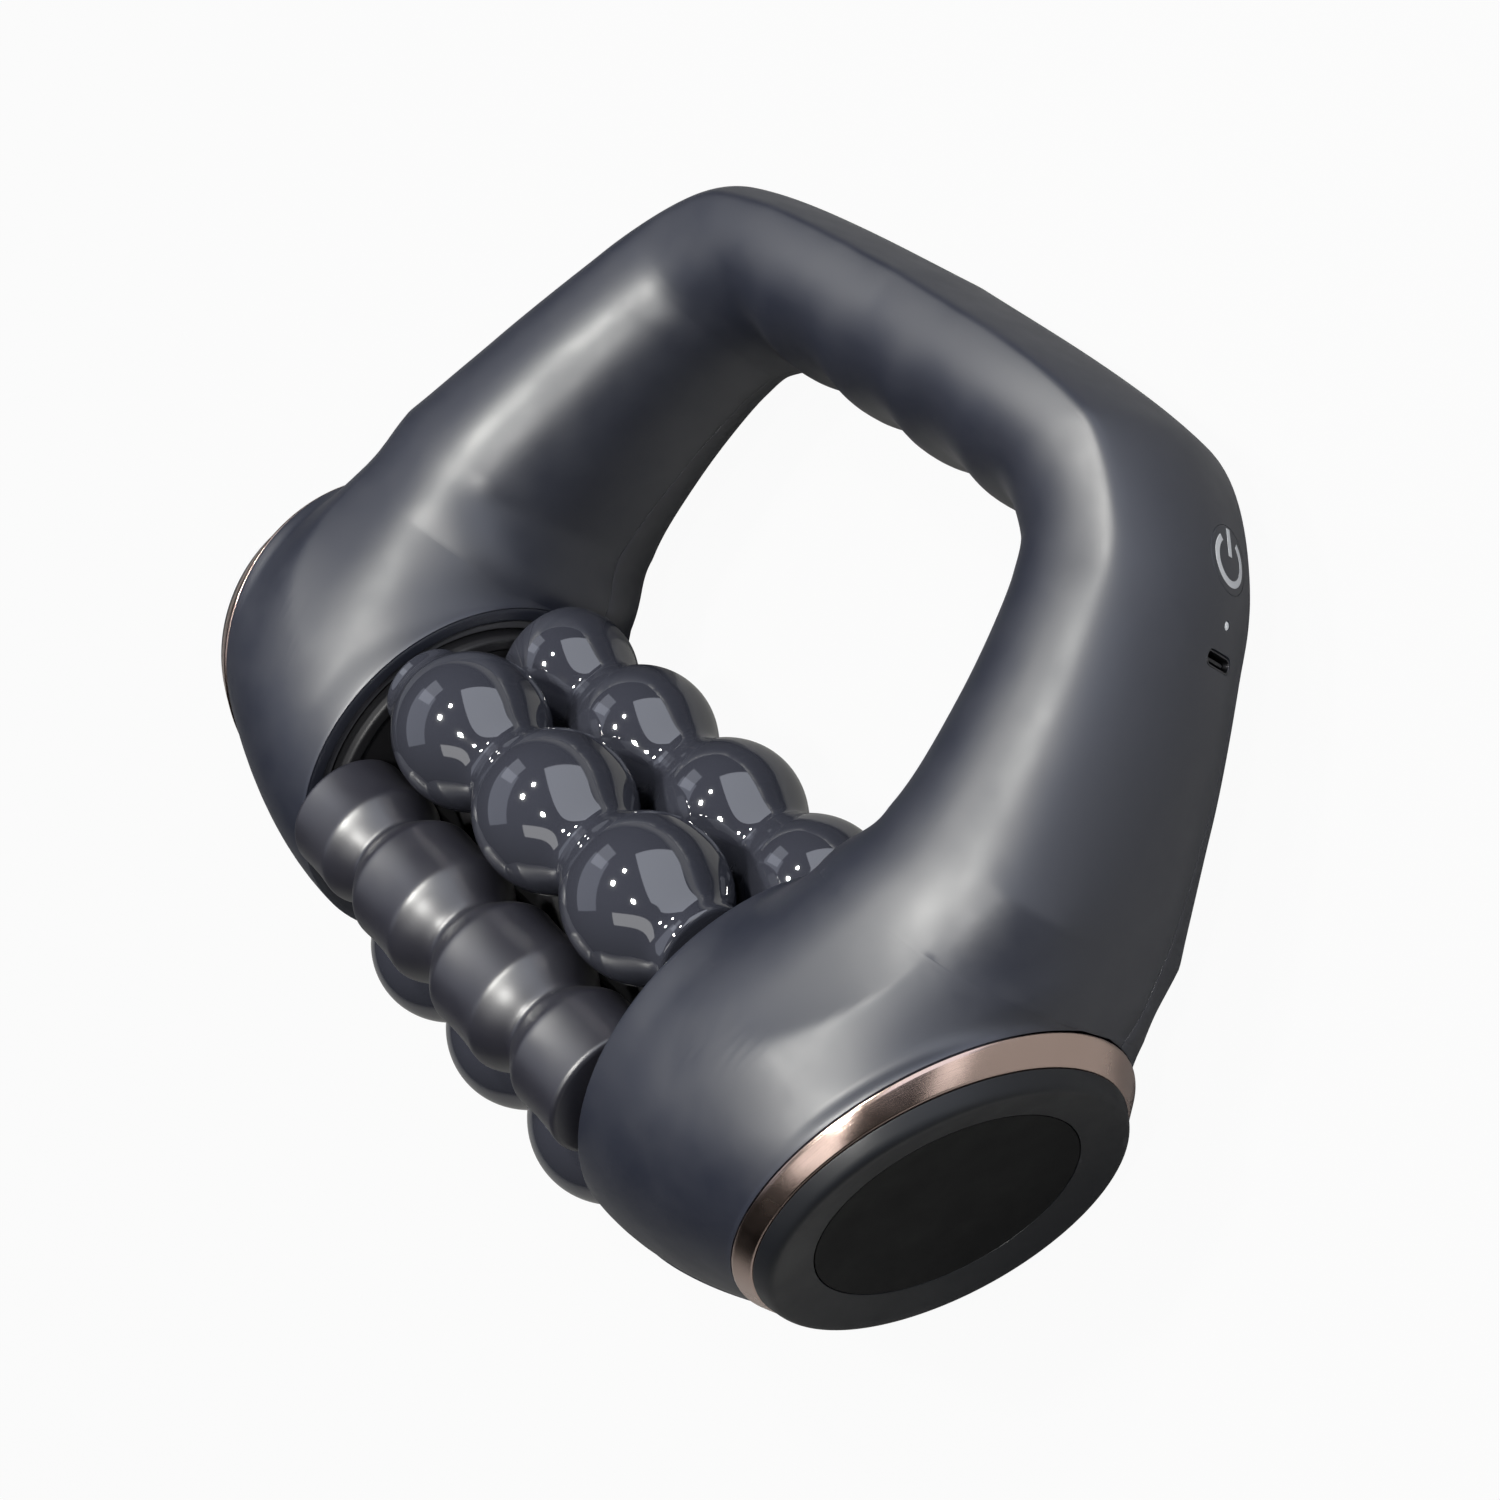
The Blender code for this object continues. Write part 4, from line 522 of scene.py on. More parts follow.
lips = [mouth_lip(side) for side in (-1, 1)]
print("mouth lips", [lip.name for lip in lips])


# %% [markdown]
# ## Trim ring, end cap and insert
#
# The barrels end in a tilted oval. A bare metal band tapers from the barrel to the cap; the cap is a
# dark moulding with a soft outer edge and a land that slopes into a dish; a black disc fills the dish. All
# are turned profiles squashed to the oval, which is simpler than sweeping a section along an ellipse.

# %% Ring, cap and insert
def end_pieces(side, word):
    """The three turned profiles of one barrel's end, measured outward from its end plane."""
    place = {"squash": END_SQUASH, "tilt": side * END_TILT, "centre": (side * END_HALF, 0, END_HEIGHT)}
    place |= {"lean": END_LEAN, "most": END_LEAN_MOST, "widen": 0.05}
    ring = [(0.15, 37.2), (0.15, 43.75), (0.8, 43.75), (4.3, 40.0), (4.3, 37.2), (0.15, 37.2)]
    ring = rounded(ring, [0.3, 0.4, 0.4, 0.2])[:-1]
    cap = [(1.0, 36.4), (4.4, 39.0), (4.4, 39.8), (7.8, 38.1), (7.8, 36.2), (6.3, 29.2)]
    cap += [(6.1, 28.3), (4.4, 28.1), (4.3, 0)]
    cap = rounded(cap, [0.1, 0.4, 1.6, 1.8, 1.2, 0.1, 0.5])
    cap = np.concatenate([[(1.0, 0)], cap])
    insert = [(4.35, 28.0), (6.08, 28.05), (5.75, 25.0), (5.4, 19.0), (5.35, 0)]
    insert = rounded(insert, [0.15, 2.0, 4.0])
    insert = np.concatenate([[(4.35, 0)], insert])
    pieces = []
    for name, line in (("trim_ring", ring), ("end_cap", cap), ("cap_insert", insert)):
        line = line * np.array([side, 1])
        pieces.append(turned_piece(f"{name}_{word}_finish", line, 192, **place))
    return pieces


ends = {word: end_pieces(side, word) for side, word in ((-1, "left"), (1, "right"))}
print("end pieces", [piece.name for group in ends.values() for piece in group])


# %% [markdown]
# ## Rollers
#
# Six rollers stand round the drum. Three have three large beads and three have two, with half-beads at the
# ends, so that bead meets neck from one to the next. A bead is a circle, and a high-power sum of all the
# circles and the core runs them into each other with small smooth necks. One roller is satin, not gloss, and
# each of its beads has a broad band round it with a shallow channel between two soft ridges.

# %% Roller outlines
ROLLER_HALF = 51.6
NECK = 10.4
NECK_POWER = 6
BEAD_EASE = 0.3
CHANNEL_ROLLER = 3
CHANNEL = 0.5
BAND_BEAD_POWER = 2.4
BAND_SHIFT, BAND_HALF, BAND_RADIUS, BAND_CRISP = 0.08, 0.5, 0.93, 90
AXLE_BORE = 2.4
THREE_BEADS = [(-32.5, 17.1), (0.0, 17.1), (32.5, 17.1)]
TWO_BEADS = [(-44.55, 15.2), (-15.75, 16.1), (15.75, 16.1), (44.55, 15.2)]


def bead_outline(beads, channel=0.0, points=360):
    """Radius r = (sum of bead^6 + neck^6)^(1/6), bead = (R^p - |d|^p)^(1/p) with p = 2, or 2.4 under a channel.
    The band caps a bead at 0.93 R less channel (1 - (d / 0.5 R)^2), through a soft minimum."""
    x = np.linspace(-ROLLER_HALF, ROLLER_HALF, points)
    distance = x[None, :] - np.array([centre for centre, _ in beads])[:, None]
    radius = np.array([radius for _, radius in beads])[:, None]
    power = BAND_BEAD_POWER if channel else 2
    bulge = np.clip(radius**power - np.abs(distance) ** power, 0, None) ** (1 / power)
    if channel:
        across = (distance + BAND_SHIFT * radius) / (BAND_HALF * radius)
        band = BAND_RADIUS * radius - channel * np.clip(1 - across**2, -1, 1)
        bulge = np.maximum(bulge, 0.01)
        bulge = (bulge**-BAND_CRISP + band**-BAND_CRISP) ** (-1 / BAND_CRISP)
    outline = (np.sum(bulge**NECK_POWER, axis=0) + NECK**NECK_POWER) ** (1 / NECK_POWER)
    return x, outline


def roller(number):
    """A beaded outline with rounded end corners and a bore, turned about the roller's own axis."""
    joint = joints[f"roller_{number}_spin"]
    centre = (np.array(joint["pos_m"]) - drum_centre) @ design_axes / MM
    beads = TWO_BEADS if number % 2 else THREE_BEADS
    x, outline = bead_outline(beads, channel=CHANNEL if number == CHANNEL_ROLLER else 0.0)
    edge = 1.1
    corner = np.sqrt(np.clip(edge**2 - np.clip(np.abs(x) - (ROLLER_HALF - edge), 0, None) ** 2, 0, None)) - edge
    line = np.stack([x, outline + corner - BEAD_EASE], axis=1)
    line = np.concatenate([[(-ROLLER_HALF, AXLE_BORE)], line, [(ROLLER_HALF, AXLE_BORE)]])
    return turned_piece(f"roller_{number}_finish", line, 128, centre=centre)


rollers = {number: roller(number) for number in range(1, 7)}
print("rollers", len(rollers), "with", len(rollers[1].data.polygons), "faces each")


# %% [markdown]
# ## What shows inside the mouths
#
# Behind the lip a thin grey bezel ring surrounds the dark carrier disc, which turns with the drum. Both
# were plain in the frame. Their finished forms get soft edges, and the carrier gets a raised rim and a hub.

# %% Bezels and carriers
def mouth_pieces(side, word):
    """Bezel ring and carrier disc as turned profiles about the drum's axis."""
    bezel = rounded([(58.6, 36.75), (55.5, 36.75), (55.5, 38.6), (58.6, 38.6), (58.6, 36.75)], [0.5, 0.5, 0.2])[:-1]
    carrier = [(57.6, 5.4), (57.6, 36.2), (51.95, 36.2), (51.95, 33.6), (52.9, 33.0)]
    carrier += [(52.9, 14.5), (51.95, 13.6), (51.95, 5.4)]
    carrier = rounded([*carrier, carrier[0]], [0.3, 0.8, 0.4, 0.4, 0.5, 0.4, 0.2])[:-1]
    pieces = []
    for name, line in (("mouth_bezel", bezel), ("carrier_disc", carrier)):
        pieces.append(turned_piece(f"{name}_{word}_finish", line * np.array([side, 1]), 144))
    return pieces


mouths = {word: mouth_pieces(side, word) for side, word in ((-1, "left"), (1, "right"))}
print("mouth pieces", [piece.name for group in mouths.values() for piece in group])


# %% [markdown]
# ## Controls on the shoulder
#
# The right shoulder carries a flush key with a printed power symbol, a pinhole light and a small charging
# inlet, in a row on the middle line. The shoulder is curved two ways, so the key's face can't be a flat
# disc: it is worked out from the same formula as the skin there.

# %% Points on the shoulder
BUTTON_HEIGHT = 129.5
LIGHT_HEIGHT = 119.3
SOCKET_HEIGHT = 113.2
BUTTON_RADIUS = 6.6
STATION_STEP = 0.01

# The stretch of the outer edge that holds the controls, from the corner's start to below the arm's top.
walk = np.linspace(1.8, 4.6, 1401)
walk_outer = loop_edges(walk)[1]
walk_length = np.concatenate([[0], np.cumsum(np.linalg.norm(np.diff(walk_outer, axis=0), axis=1))])


def length_at(height):
    """Distance along the outer edge to the place at this height."""
    return np.interp(-height, -walk_outer[:, 1], walk_length)


def shoulder(along, across_y, lift=0.0):
    """A point on the shoulder: follow the outer edge by a length, step sideways in y, sink by (y / reach)^shape times
    the section's outer share, and rise by lift along the edge's normal."""
    along = np.asarray(along, float)
    across_y = np.asarray(across_y, float)
    station = np.interp(along, walk_length, walk).ravel()
    inner, outer = [edge.reshape(*along.shape, 2) for edge in loop_edges(station)]
    reach = OUTER_LIFT * through(STATIONS, RIDGE_DEPTH, station) * through(DEPTH_STATIONS, DEPTH, station)
    ridge = through(STATIONS, RIDGE, station)
    shape = through(STATIONS, OUTER_SHAPE, station)
    sunk = ((1 - ridge) * (np.abs(across_y.ravel()) / reach) ** shape).reshape(along.shape)
    plane = outer + (inner - outer) * (sunk / 2)[..., None]
    before, after = loop_edges(station - STATION_STEP)[1], loop_edges(station + STATION_STEP)[1]
    run = (after - before) / np.linalg.norm(after - before, axis=-1, keepdims=True)
    run = run.reshape(*along.shape, 2)
    normal = np.stack([-run[..., 1], run[..., 0]], axis=-1)
    plane = plane + normal * lift
    return np.stack([plane[..., 0], across_y, plane[..., 1]], axis=-1)


button_length = length_at(BUTTON_HEIGHT)
print("key centre", shoulder(np.array([button_length]), np.array([0.0])).round(1))


# %% The key and its symbol
def disc_on_shoulder(centre_length, radius, lift, rings=24, steps=96):
    """Polar grid laid on the shoulder: along = centre + r cos a, y = r sin a."""
    r = np.linspace(0, radius, rings)[:, None]
    a = np.linspace(0, math.tau, steps, endpoint=False)[None, :]
    return shoulder(centre_length + r * np.cos(a), r * np.sin(a), lift)


def plug_on_shoulder(name, face, circles):
    """A closed plug: a first disc laid on the shoulder, then circles of (radius, lift) round the same centre."""
    rows = [face, *[disc_on_shoulder(button_length, radius, lift, rings=2)[-1:] for radius, lift in circles]]
    points = np.concatenate(rows)
    faces = grid_quads(len(points), points.shape[1], closed_columns=True)
    return add_piece(name, points.reshape(-1, 3), faces, merge=MERGE)


def power_key():
    """The key: its face on the shoulder, a softened rim, a side wall and a flat back."""
    face = disc_on_shoulder(button_length, BUTTON_RADIUS - 0.1, 0.0)
    circles = ((BUTTON_RADIUS - 0.03, -0.03), (BUTTON_RADIUS, -0.1), (BUTTON_RADIUS, -2.0), (0.0, -2.0))
    return plug_on_shoulder("power_button_finish", face, circles)


def symbol_band(name, along, sideways, width_along, width_side, lift=0.05):
    """A thin raised band on the shoulder along a path, offset both ways by half its width."""
    offsets = np.array([-1.0, -0.8, 0.8, 1.0])[:, None]
    heights = np.array([-0.06, lift, lift, -0.06])[:, None]
    length = button_length + along[None, :] + offsets * width_along[None, :]
    y = sideways[None, :] + offsets * width_side[None, :]
    points = np.stack([shoulder(length[row], y[row], float(heights[row, 0])) for row in range(4)])
    faces = grid_quads(4, len(along), closed_rows=True)
    ends = [[row * len(along) for row in range(4)], [row * len(along) + len(along) - 1 for row in range(4)]]
    return add_piece(name, points.reshape(-1, 3), [*faces.tolist(), *ends], sharp=30)


key = power_key()
SYMBOL_RADIUS = 4.6
SYMBOL_STROKE = 0.75
sweep = np.radians(np.linspace(38, 322, 90))
circle = np.stack([-np.cos(sweep), np.sin(sweep)])
ring_band = symbol_band("power_symbol_ring", *(SYMBOL_RADIUS * circle), *(SYMBOL_STROKE * circle))
bar = np.linspace(-6.1, -0.6, 12)
bar_band = symbol_band("power_symbol_bar", bar, 0 * bar, 0 * bar, 0 * bar + SYMBOL_STROKE)
print("key and symbol", key.name, ring_band.name, bar_band.name)


# %% [markdown]
# ## Charging inlet and light
#
# The inlet is a pressed metal shell with a slot-shaped mouth and a thin tongue. A slot-shaped outline is two
# half circles joined by straight runs, and a profile of depths and insets carried round it gives wall, lip
# and inside in one surface. The light is a small clear rod with a softened face.

# %% Where the inlet and the light point
def wall_at(height):
    """The shoulder's middle-line point at a height."""
    return shoulder(np.array([length_at(height)]), np.array([0.0]))[0]


chord = wall_at(SOCKET_HEIGHT) - wall_at(BUTTON_HEIGHT)
chord = chord / np.linalg.norm(chord)
outward = np.array([-chord[2], 0.0, chord[0]])


def on_wall(centre, y, step, depth):
    """Points at y sideways, step along the chord and depth inward from a centre on the shoulder."""
    return centre + y[..., None] * np.array([0, 1.0, 0]) + step[..., None] * chord - depth[..., None] * outward


def slot_rows(centre, length, width, profile, steps=48):
    """Rows round a slot outline: y = +-run + (width/2 - inset) cos a, along the chord (width/2 - inset) sin a.
    A profile point with an inset of half the width closes the row to its middle."""
    depth, inset = np.asarray(profile, float).T[:, :, None]
    angle = np.linspace(-math.pi / 2, 1.5 * math.pi, steps, endpoint=False) + math.pi / steps
    run = (length - width) / 2 * np.sign(np.cos(angle))
    radius = np.maximum(width / 2 - inset, 0.0)
    closing = np.clip((width / 2 + 0.001 - inset) * 1000, 0, 1)
    return on_wall(centre, run * closing + radius * np.cos(angle), radius * np.sin(angle), depth + 0 * angle)


def closed_piece(name, parts):
    """One mesh from several closed surfaces, each given as rows of points that run round it."""
    points, faces, count = [], [], 0
    for rows in parts:
        points.append(rows.reshape(-1, 3))
        faces.append(grid_quads(len(rows), rows.shape[1], closed_columns=True) + count)
        count += rows.shape[0] * rows.shape[1]
    return add_piece(name, np.concatenate(points), np.concatenate(faces), merge=MERGE)


SOCKET_LENGTH = 8.9
SOCKET_WIDTH = 3.2
SOCKET_BACK = 7.0
SOCKET_FLOOR = 5.6
TONGUE_LENGTH = 6.0
TONGUE_WIDTH = 0.7
socket_centre = wall_at(SOCKET_HEIGHT)
lip = [(SOCKET_BACK, 1.59), (SOCKET_BACK, 0.0), (0.25, 0.0), (0.25, 0.4), (SOCKET_FLOOR, 0.4), (SOCKET_FLOOR, 1.59)]
lip = rounded(lip, [0.2, 0.18, 0.18, 0.2])
lip = np.concatenate([[(SOCKET_BACK, SOCKET_WIDTH / 2)], lip, [(SOCKET_FLOOR, SOCKET_WIDTH / 2)]])
tongue = rounded([(SOCKET_FLOOR, 0.34), (SOCKET_FLOOR, 0.0), (1.1, 0.0), (1.1, 0.34)], [0.05, 0.12])
tongue = np.concatenate([[(SOCKET_FLOOR, TONGUE_WIDTH / 2)], tongue, [(1.1, TONGUE_WIDTH / 2)]])
socket = closed_piece("usb_socket_finish", [slot_rows(socket_centre, SOCKET_LENGTH, SOCKET_WIDTH, lip)])
tongue_rows = slot_rows(socket_centre, TONGUE_LENGTH, TONGUE_WIDTH, tongue)
socket_tongue = closed_piece("socket_tongue_finish", [tongue_rows])
print("inlet", socket.name, "mouth", SOCKET_LENGTH, "x", SOCKET_WIDTH, "mm, tongue", socket_tongue.name)


def turned_on_wall(centre, profile, steps=40):
    """A surface turned about the outward direction, from (depth inward, radius) points."""
    depth, radius = np.asarray(profile, float).T[:, :, None]
    angle = np.linspace(0, math.tau, steps, endpoint=False)
    return on_wall(centre, radius * np.cos(angle), radius * np.sin(angle), depth + 0 * angle)


LIGHT_RADIUS = 0.9
light_line = [(6.0, 0.0), (6.0, LIGHT_RADIUS), (0.25, LIGHT_RADIUS), (0.1, 0.8), (0.02, 0.55), (0.0, 0.0)]
light = closed_piece("light_window_finish", [turned_on_wall(wall_at(LIGHT_HEIGHT), light_line)])
print("light window", light.name)


# %% [markdown]
# ## Openings in the skins
#
# The holes are cut after the wall has its thickness, so their edges show real material. Each cutter is a
# closed surface of the same family as the piece that fills the hole, a little larger. The key's hole is close
# round the key at the skin and wider below, where the key travels. The rear cover has six counterbores;
# behind each hole a cup makes the sides and the seat of the bore.

# %% Helpers that cut
KEY_GAP = 0.07
CUT_ABOVE = 1.0
CUT_BELOW = 4.0
CUT_SHARP = 38


def bake(piece):
    """Keep the evaluated mesh and drop the modifiers."""
    bpy.context.view_layer.update()
    graph = bpy.context.evaluated_depsgraph_get()
    mesh = bpy.data.meshes.new_from_object(piece.evaluated_get(graph))
    piece.modifiers.clear()
    piece.data = mesh
    return piece


def close_pinholes(piece):
    """Fill the three- and four-edged holes that a subtraction leaves where it meets a sliver of a face."""
    shape = bmesh.new()
    shape.from_mesh(piece.data)
    open_edges = [edge for edge in shape.edges if edge.is_boundary]
    bmesh.ops.holes_fill(shape, edges=open_edges, sides=4)
    shape.to_mesh(piece.data)
    shape.free()


def cut_away(piece, cutters):
    """Subtract the cutters from the piece, then remove them."""
    bake(piece)
    for cutter in cutters:
        hole = piece.modifiers.new("hole", "BOOLEAN")
        hole.object = cutter
        hole.solver = "EXACT"
        bake(piece)
        bpy.data.objects.remove(cutter, do_unlink=True)
    close_pinholes(piece)
    piece.data.shade_smooth()
    piece.data.set_sharp_from_angle(angle=math.radians(CUT_SHARP))
    return piece


def in_design(name):
    """A frame node's points in design millimetres."""
    points = np.array([vertex.co for vertex in frame["nodes"][name].data.vertices])
    return (points - drum_centre) @ design_axes / MM


def key_cutter():
    """A round plug laid on the shoulder, from above the skin down past the key's back."""
    top = disc_on_shoulder(button_length, BUTTON_RADIUS + KEY_GAP, CUT_ABOVE, rings=2)
    circles = [(BUTTON_RADIUS + gap, lift) for gap, lift in ((KEY_GAP, -0.2), (0.35, -0.6), (0.6, -CUT_BELOW))]
    return plug_on_shoulder("key_cutter", top, [*circles, (0.0, -CUT_BELOW)])


# %% Cut the front shell's holes
SOCKET_GAP = 0.075
LIGHT_GAP = 0.07
slot_length, slot_width = SOCKET_LENGTH + 2 * SOCKET_GAP, SOCKET_WIDTH + 2 * SOCKET_GAP
slot_line = [(-CUT_ABOVE, slot_width / 2), (-CUT_ABOVE, 0), (CUT_BELOW, 0), (CUT_BELOW, slot_width / 2)]
socket_cut = closed_piece("socket_cutter", [slot_rows(socket_centre, slot_length, slot_width, slot_line)])
hole = LIGHT_RADIUS + LIGHT_GAP
hole_line = [(-CUT_ABOVE, 0), (-CUT_ABOVE, hole), (CUT_BELOW, hole), (CUT_BELOW, 0)]
light_cut = closed_piece("light_cutter", [turned_on_wall(wall_at(LIGHT_HEIGHT), hole_line)])
cut_away(front_skin, [key_cutter(), socket_cut, light_cut])
print("front shell cut for key, inlet and light:", len(front_skin.data.polygons), "faces")


# %% Screw wells in the rear cover
def screw_plug(points, profile, steps=48):
    """A surface turned about a screw's axis, from (y, radius) points: x and z take the circle."""
    centre = (points.min(0) + points.max(0)) / 2
    along, radius = np.asarray(profile, float).T[:, :, None]
    angle = np.linspace(0, math.tau, steps, endpoint=False)
    x, z = centre[0] + radius * np.cos(angle), centre[2] + radius * np.sin(angle)
    return np.stack([x, along + 0 * angle, z], axis=-1)


WELL_RADIUS = 3.1
cup_rows, plugs = [], []
for number in range(1, 7):
    points = in_design(f"case_screw_{number}")
    top = points[:, 1].max()
    hole_line = [(top - 2, 0), (top - 2, WELL_RADIUS), (top + 8, WELL_RADIUS), (top + 8, 0)]
    plugs.append(closed_piece("screw_cutter", [screw_plug(points, hole_line)]))
    cup_line = [(top - 3.0, 1.6), (top - 1.95, 1.6), (top - 1.95, 3.13), (top + 1.4, 3.13)]
    cup_line += [(top + 1.4, 4.0), (top - 3.0, 4.0), (top - 3.0, 1.6)]
    cup_rows.append(screw_plug(points, cup_line))
cut_away(rear_skin, plugs)
cups = closed_piece("screw_wells_finish", cup_rows)
print("screw wells", len(cup_rows))


# %% [markdown]
# ## Finishes
#
# Moulded plastic is never one flat colour: its gloss drifts a little from place to place, a fine spark-eroded
# grain breaks up the highlight, and edges are rubbed paler. Each finish mixes two close colours by a broad
# noise, varies its roughness by a second noise, and bumps the surface by a fine one. Pointiness, which Cycles
# works out from the mesh, finds the edges that wear. The noises read Object coordinates, in metres, and the
# lathe's lines on the metal band read the length along its profile, which the turned pieces carry.

# %% Building blocks of a finish
BROAD_NOISE = (38, 4)
CLOUD_NOISE = (95, 6)
GRAIN_DETAIL = 3
GRAIN_DISTANCE = 0.05
EDGE_POINTINESS = (0.53, 0.62)
SPUN_NOISE = (9, 5)
SPUN_DISTANCE = 0.03


def add_noise(tree, place, scale, detail):
    """A noise over the piece's own coordinates."""
    noise = tree.nodes.new("ShaderNodeTexNoise")
    noise.inputs["Scale"].default_value = scale
    noise.inputs["Detail"].default_value = detail
    tree.links.new(place, noise.inputs["Vector"])
    return noise.outputs["Fac"]


def add_range(tree, value, low, high, to_low=0.0, to_high=1.0):
    """The value's stretch from low to high, moved to the stretch from to_low to to_high and clamped there."""
    ramp = tree.nodes.new("ShaderNodeMapRange")
    for socket_name, number in (("From Min", low), ("From Max", high), ("To Min", to_low), ("To Max", to_high)):
        ramp.inputs[socket_name].default_value = number
    tree.links.new(value, ramp.inputs["Value"])
    return ramp.outputs["Result"]


def add_bump(tree, height, strength, distance, under=None):
    """A bump of so many millimetres, laid over an earlier one if there is one."""
    bump = tree.nodes.new("ShaderNodeBump")
    bump.inputs["Strength"].default_value = strength
    bump.inputs["Distance"].default_value = distance * MM
    tree.links.new(height, bump.inputs["Height"])
    if under is not None:
        tree.links.new(under, bump.inputs["Normal"])
    return bump.outputs["Normal"]


def toned(colour, share, plus=0.0):
    """The colour times a share and plus a little, at most 1, with an alpha of 1."""
    return (*[min(value * share + plus, 1) for value in colour], 1)


# %% A drifting colour, worn edges and spun lines
def drifting_colour(tree, place, colour, drift):
    """A little darker and a little lighter than the colour, mixed by a broad noise."""
    tint = tree.nodes.new("ShaderNodeMix")
    tint.data_type = "RGBA"
    tint.inputs["A"].default_value = toned(colour, 1 - drift)
    tint.inputs["B"].default_value = toned(colour, 1 + drift)
    tree.links.new(add_noise(tree, place, *BROAD_NOISE), tint.inputs["Factor"])
    return tint.outputs["Result"]


def worn_edges(tree, base, colour, wear):
    """The base colour, paler where Pointiness says that the surface is a sharp outer edge."""
    pointiness = tree.nodes.new("ShaderNodeNewGeometry").outputs["Pointiness"]
    worn = tree.nodes.new("ShaderNodeMix")
    worn.data_type = "RGBA"
    worn.inputs["B"].default_value = toned(colour, 1 + wear, 0.012 * wear)
    tree.links.new(add_range(tree, pointiness, *EDGE_POINTINESS), worn.inputs["Factor"])
    tree.links.new(base, worn.inputs["A"])
    return worn.outputs["Result"]


def spun_lines(tree, under, strength):
    """Fine rings left by the lathe: a noise of the length run along the turned profile."""
    run = tree.nodes.new("ShaderNodeAttribute")
    run.attribute_name = "run"
    lines = tree.nodes.new("ShaderNodeTexNoise")
    lines.noise_dimensions = "1D"
    lines.inputs["Scale"].default_value = SPUN_NOISE[0]
    lines.inputs["Detail"].default_value = SPUN_NOISE[1]
    tree.links.new(run.outputs["Fac"], lines.inputs["W"])
    return add_bump(tree, lines.outputs["Fac"], strength, SPUN_DISTANCE, under)


# %% A whole finish
def finish(
    name, colour, roughness, metallic=0.0, ior=1.45, drift=0.08, patch=0.05, grain=(2200, 0.12), wear=0.0, spun=0.0
):
    """Principled shader with drifting colour, drifting roughness, fine bump, worn edges and, for metal, spun lines.
    grain is the fine noise's scale and its bump's strength."""
    material = bpy.data.materials.new(name)
    material.use_nodes = True
    tree = material.node_tree
    shader = tree.nodes["Principled BSDF"]
    shader.inputs["Metallic"].default_value = metallic
    shader.inputs["IOR"].default_value = ior
    place = tree.nodes.new("ShaderNodeTexCoord").outputs["Object"]

    surface_colour = drifting_colour(tree, place, colour, drift)
    if wear:
        surface_colour = worn_edges(tree, surface_colour, colour, wear)
    cloud = add_noise(tree, place, *CLOUD_NOISE)
    surface_roughness = add_range(tree, cloud, 0.3, 0.7, max(roughness - patch, 0.02), roughness + patch)
    surface_normal = add_bump(tree, add_noise(tree, place, grain[0], GRAIN_DETAIL), grain[1], GRAIN_DISTANCE)
    if spun:
        surface_normal = spun_lines(tree, surface_normal, spun)

    tree.links.new(surface_colour, shader.inputs["Base Color"])
    tree.links.new(surface_roughness, shader.inputs["Roughness"])
    tree.links.new(surface_normal, shader.inputs["Normal"])
    return material


# %% The object's finishes
slate = finish("slate_satin_plastic", (0.010, 0.0125, 0.024), 0.48, ior=1.9, grain=(2600, 0.10), wear=0.3)
rose = finish("rose_gold_band", (0.74, 0.56, 0.49), 0.24, metallic=1.0, drift=0.03, grain=(5000, 0.05), spun=0.25)
cap_black = finish("cap_black_plastic", (0.010, 0.011, 0.014), 0.45, grain=(2600, 0.14), wear=0.6)
insert_finish = finish("insert_matt_black", (0.004, 0.004, 0.0045), 0.65, ior=1.3, grain=(3000, 0.2))
gloss = finish("gloss_bead_plastic", (0.036, 0.038, 0.050), 0.05, ior=2.1, patch=0.02, grain=(700, 0.012))
satin = finish("satin_bead_plastic", (0.016, 0.016, 0.024), 0.40, ior=2.1, patch=0.04, grain=(2600, 0.05))
carrier_finish = finish("carrier_matt_plastic", (0.016, 0.016, 0.018), 0.5, grain=(2200, 0.2), wear=0.5)
bezel_finish = finish("bezel_grey_plastic", (0.075, 0.076, 0.085), 0.4, grain=(2600, 0.1), wear=0.4)
steel = finish("turned_steel", (0.52, 0.52, 0.53), 0.28, metallic=1.0, drift=0.05, grain=(4000, 0.08))
# The inlet's steel is made far darker than plain steel: painted shade, standing in for the shade inside its slot.
slot_shade_steel = finish("steel_darkened_as_slot_shade", (0.10, 0.10, 0.11), 0.35, metallic=1.0, drift=0.05, grain=(4000, 0.08))
zinc = finish("zinc_plate", (0.46, 0.46, 0.44), 0.4, metallic=1.0, drift=0.12, patch=0.1, grain=(900, 0.1))
acetal = finish("natural_acetal", (0.56, 0.54, 0.48), 0.45, drift=0.04, grain=(1800, 0.1))
sleeve = finish("cell_sleeve_blue", (0.02, 0.09, 0.2), 0.3, drift=0.1, grain=(600, 0.1))
board_finish = finish("board_green_mask", (0.01, 0.09, 0.03), 0.35, drift=0.2, grain=(1500, 0.15))
clear = finish("clear_light_window", (0.86, 0.88, 0.9), 0.12, ior=1.49, drift=0.02, grain=(1500, 0.02))
print_pale = finish("pale_print", (0.62, 0.63, 0.65), 0.4, drift=0.08, grain=(4000, 0.1))
print("finishes", len([material for material in bpy.data.materials if material.use_nodes]))


# %% [markdown]
# ## Give each piece its finish, its body and its node
#
# A new piece stands for one node of the frame, hides that node and rides on that node's body. The frame's
# own pieces that stay, such as axles, bearings and gears, only get a finish.

# %% Dress the pieces
def dress(piece, material, body, slot_name, *nodes):
    """Finish, body and the nodes this piece stands for; the record material's slot name is not used."""
    piece.data.materials.clear()
    piece.data.materials.append(material)
    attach(piece, body)
    if nodes:
        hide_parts(*nodes)


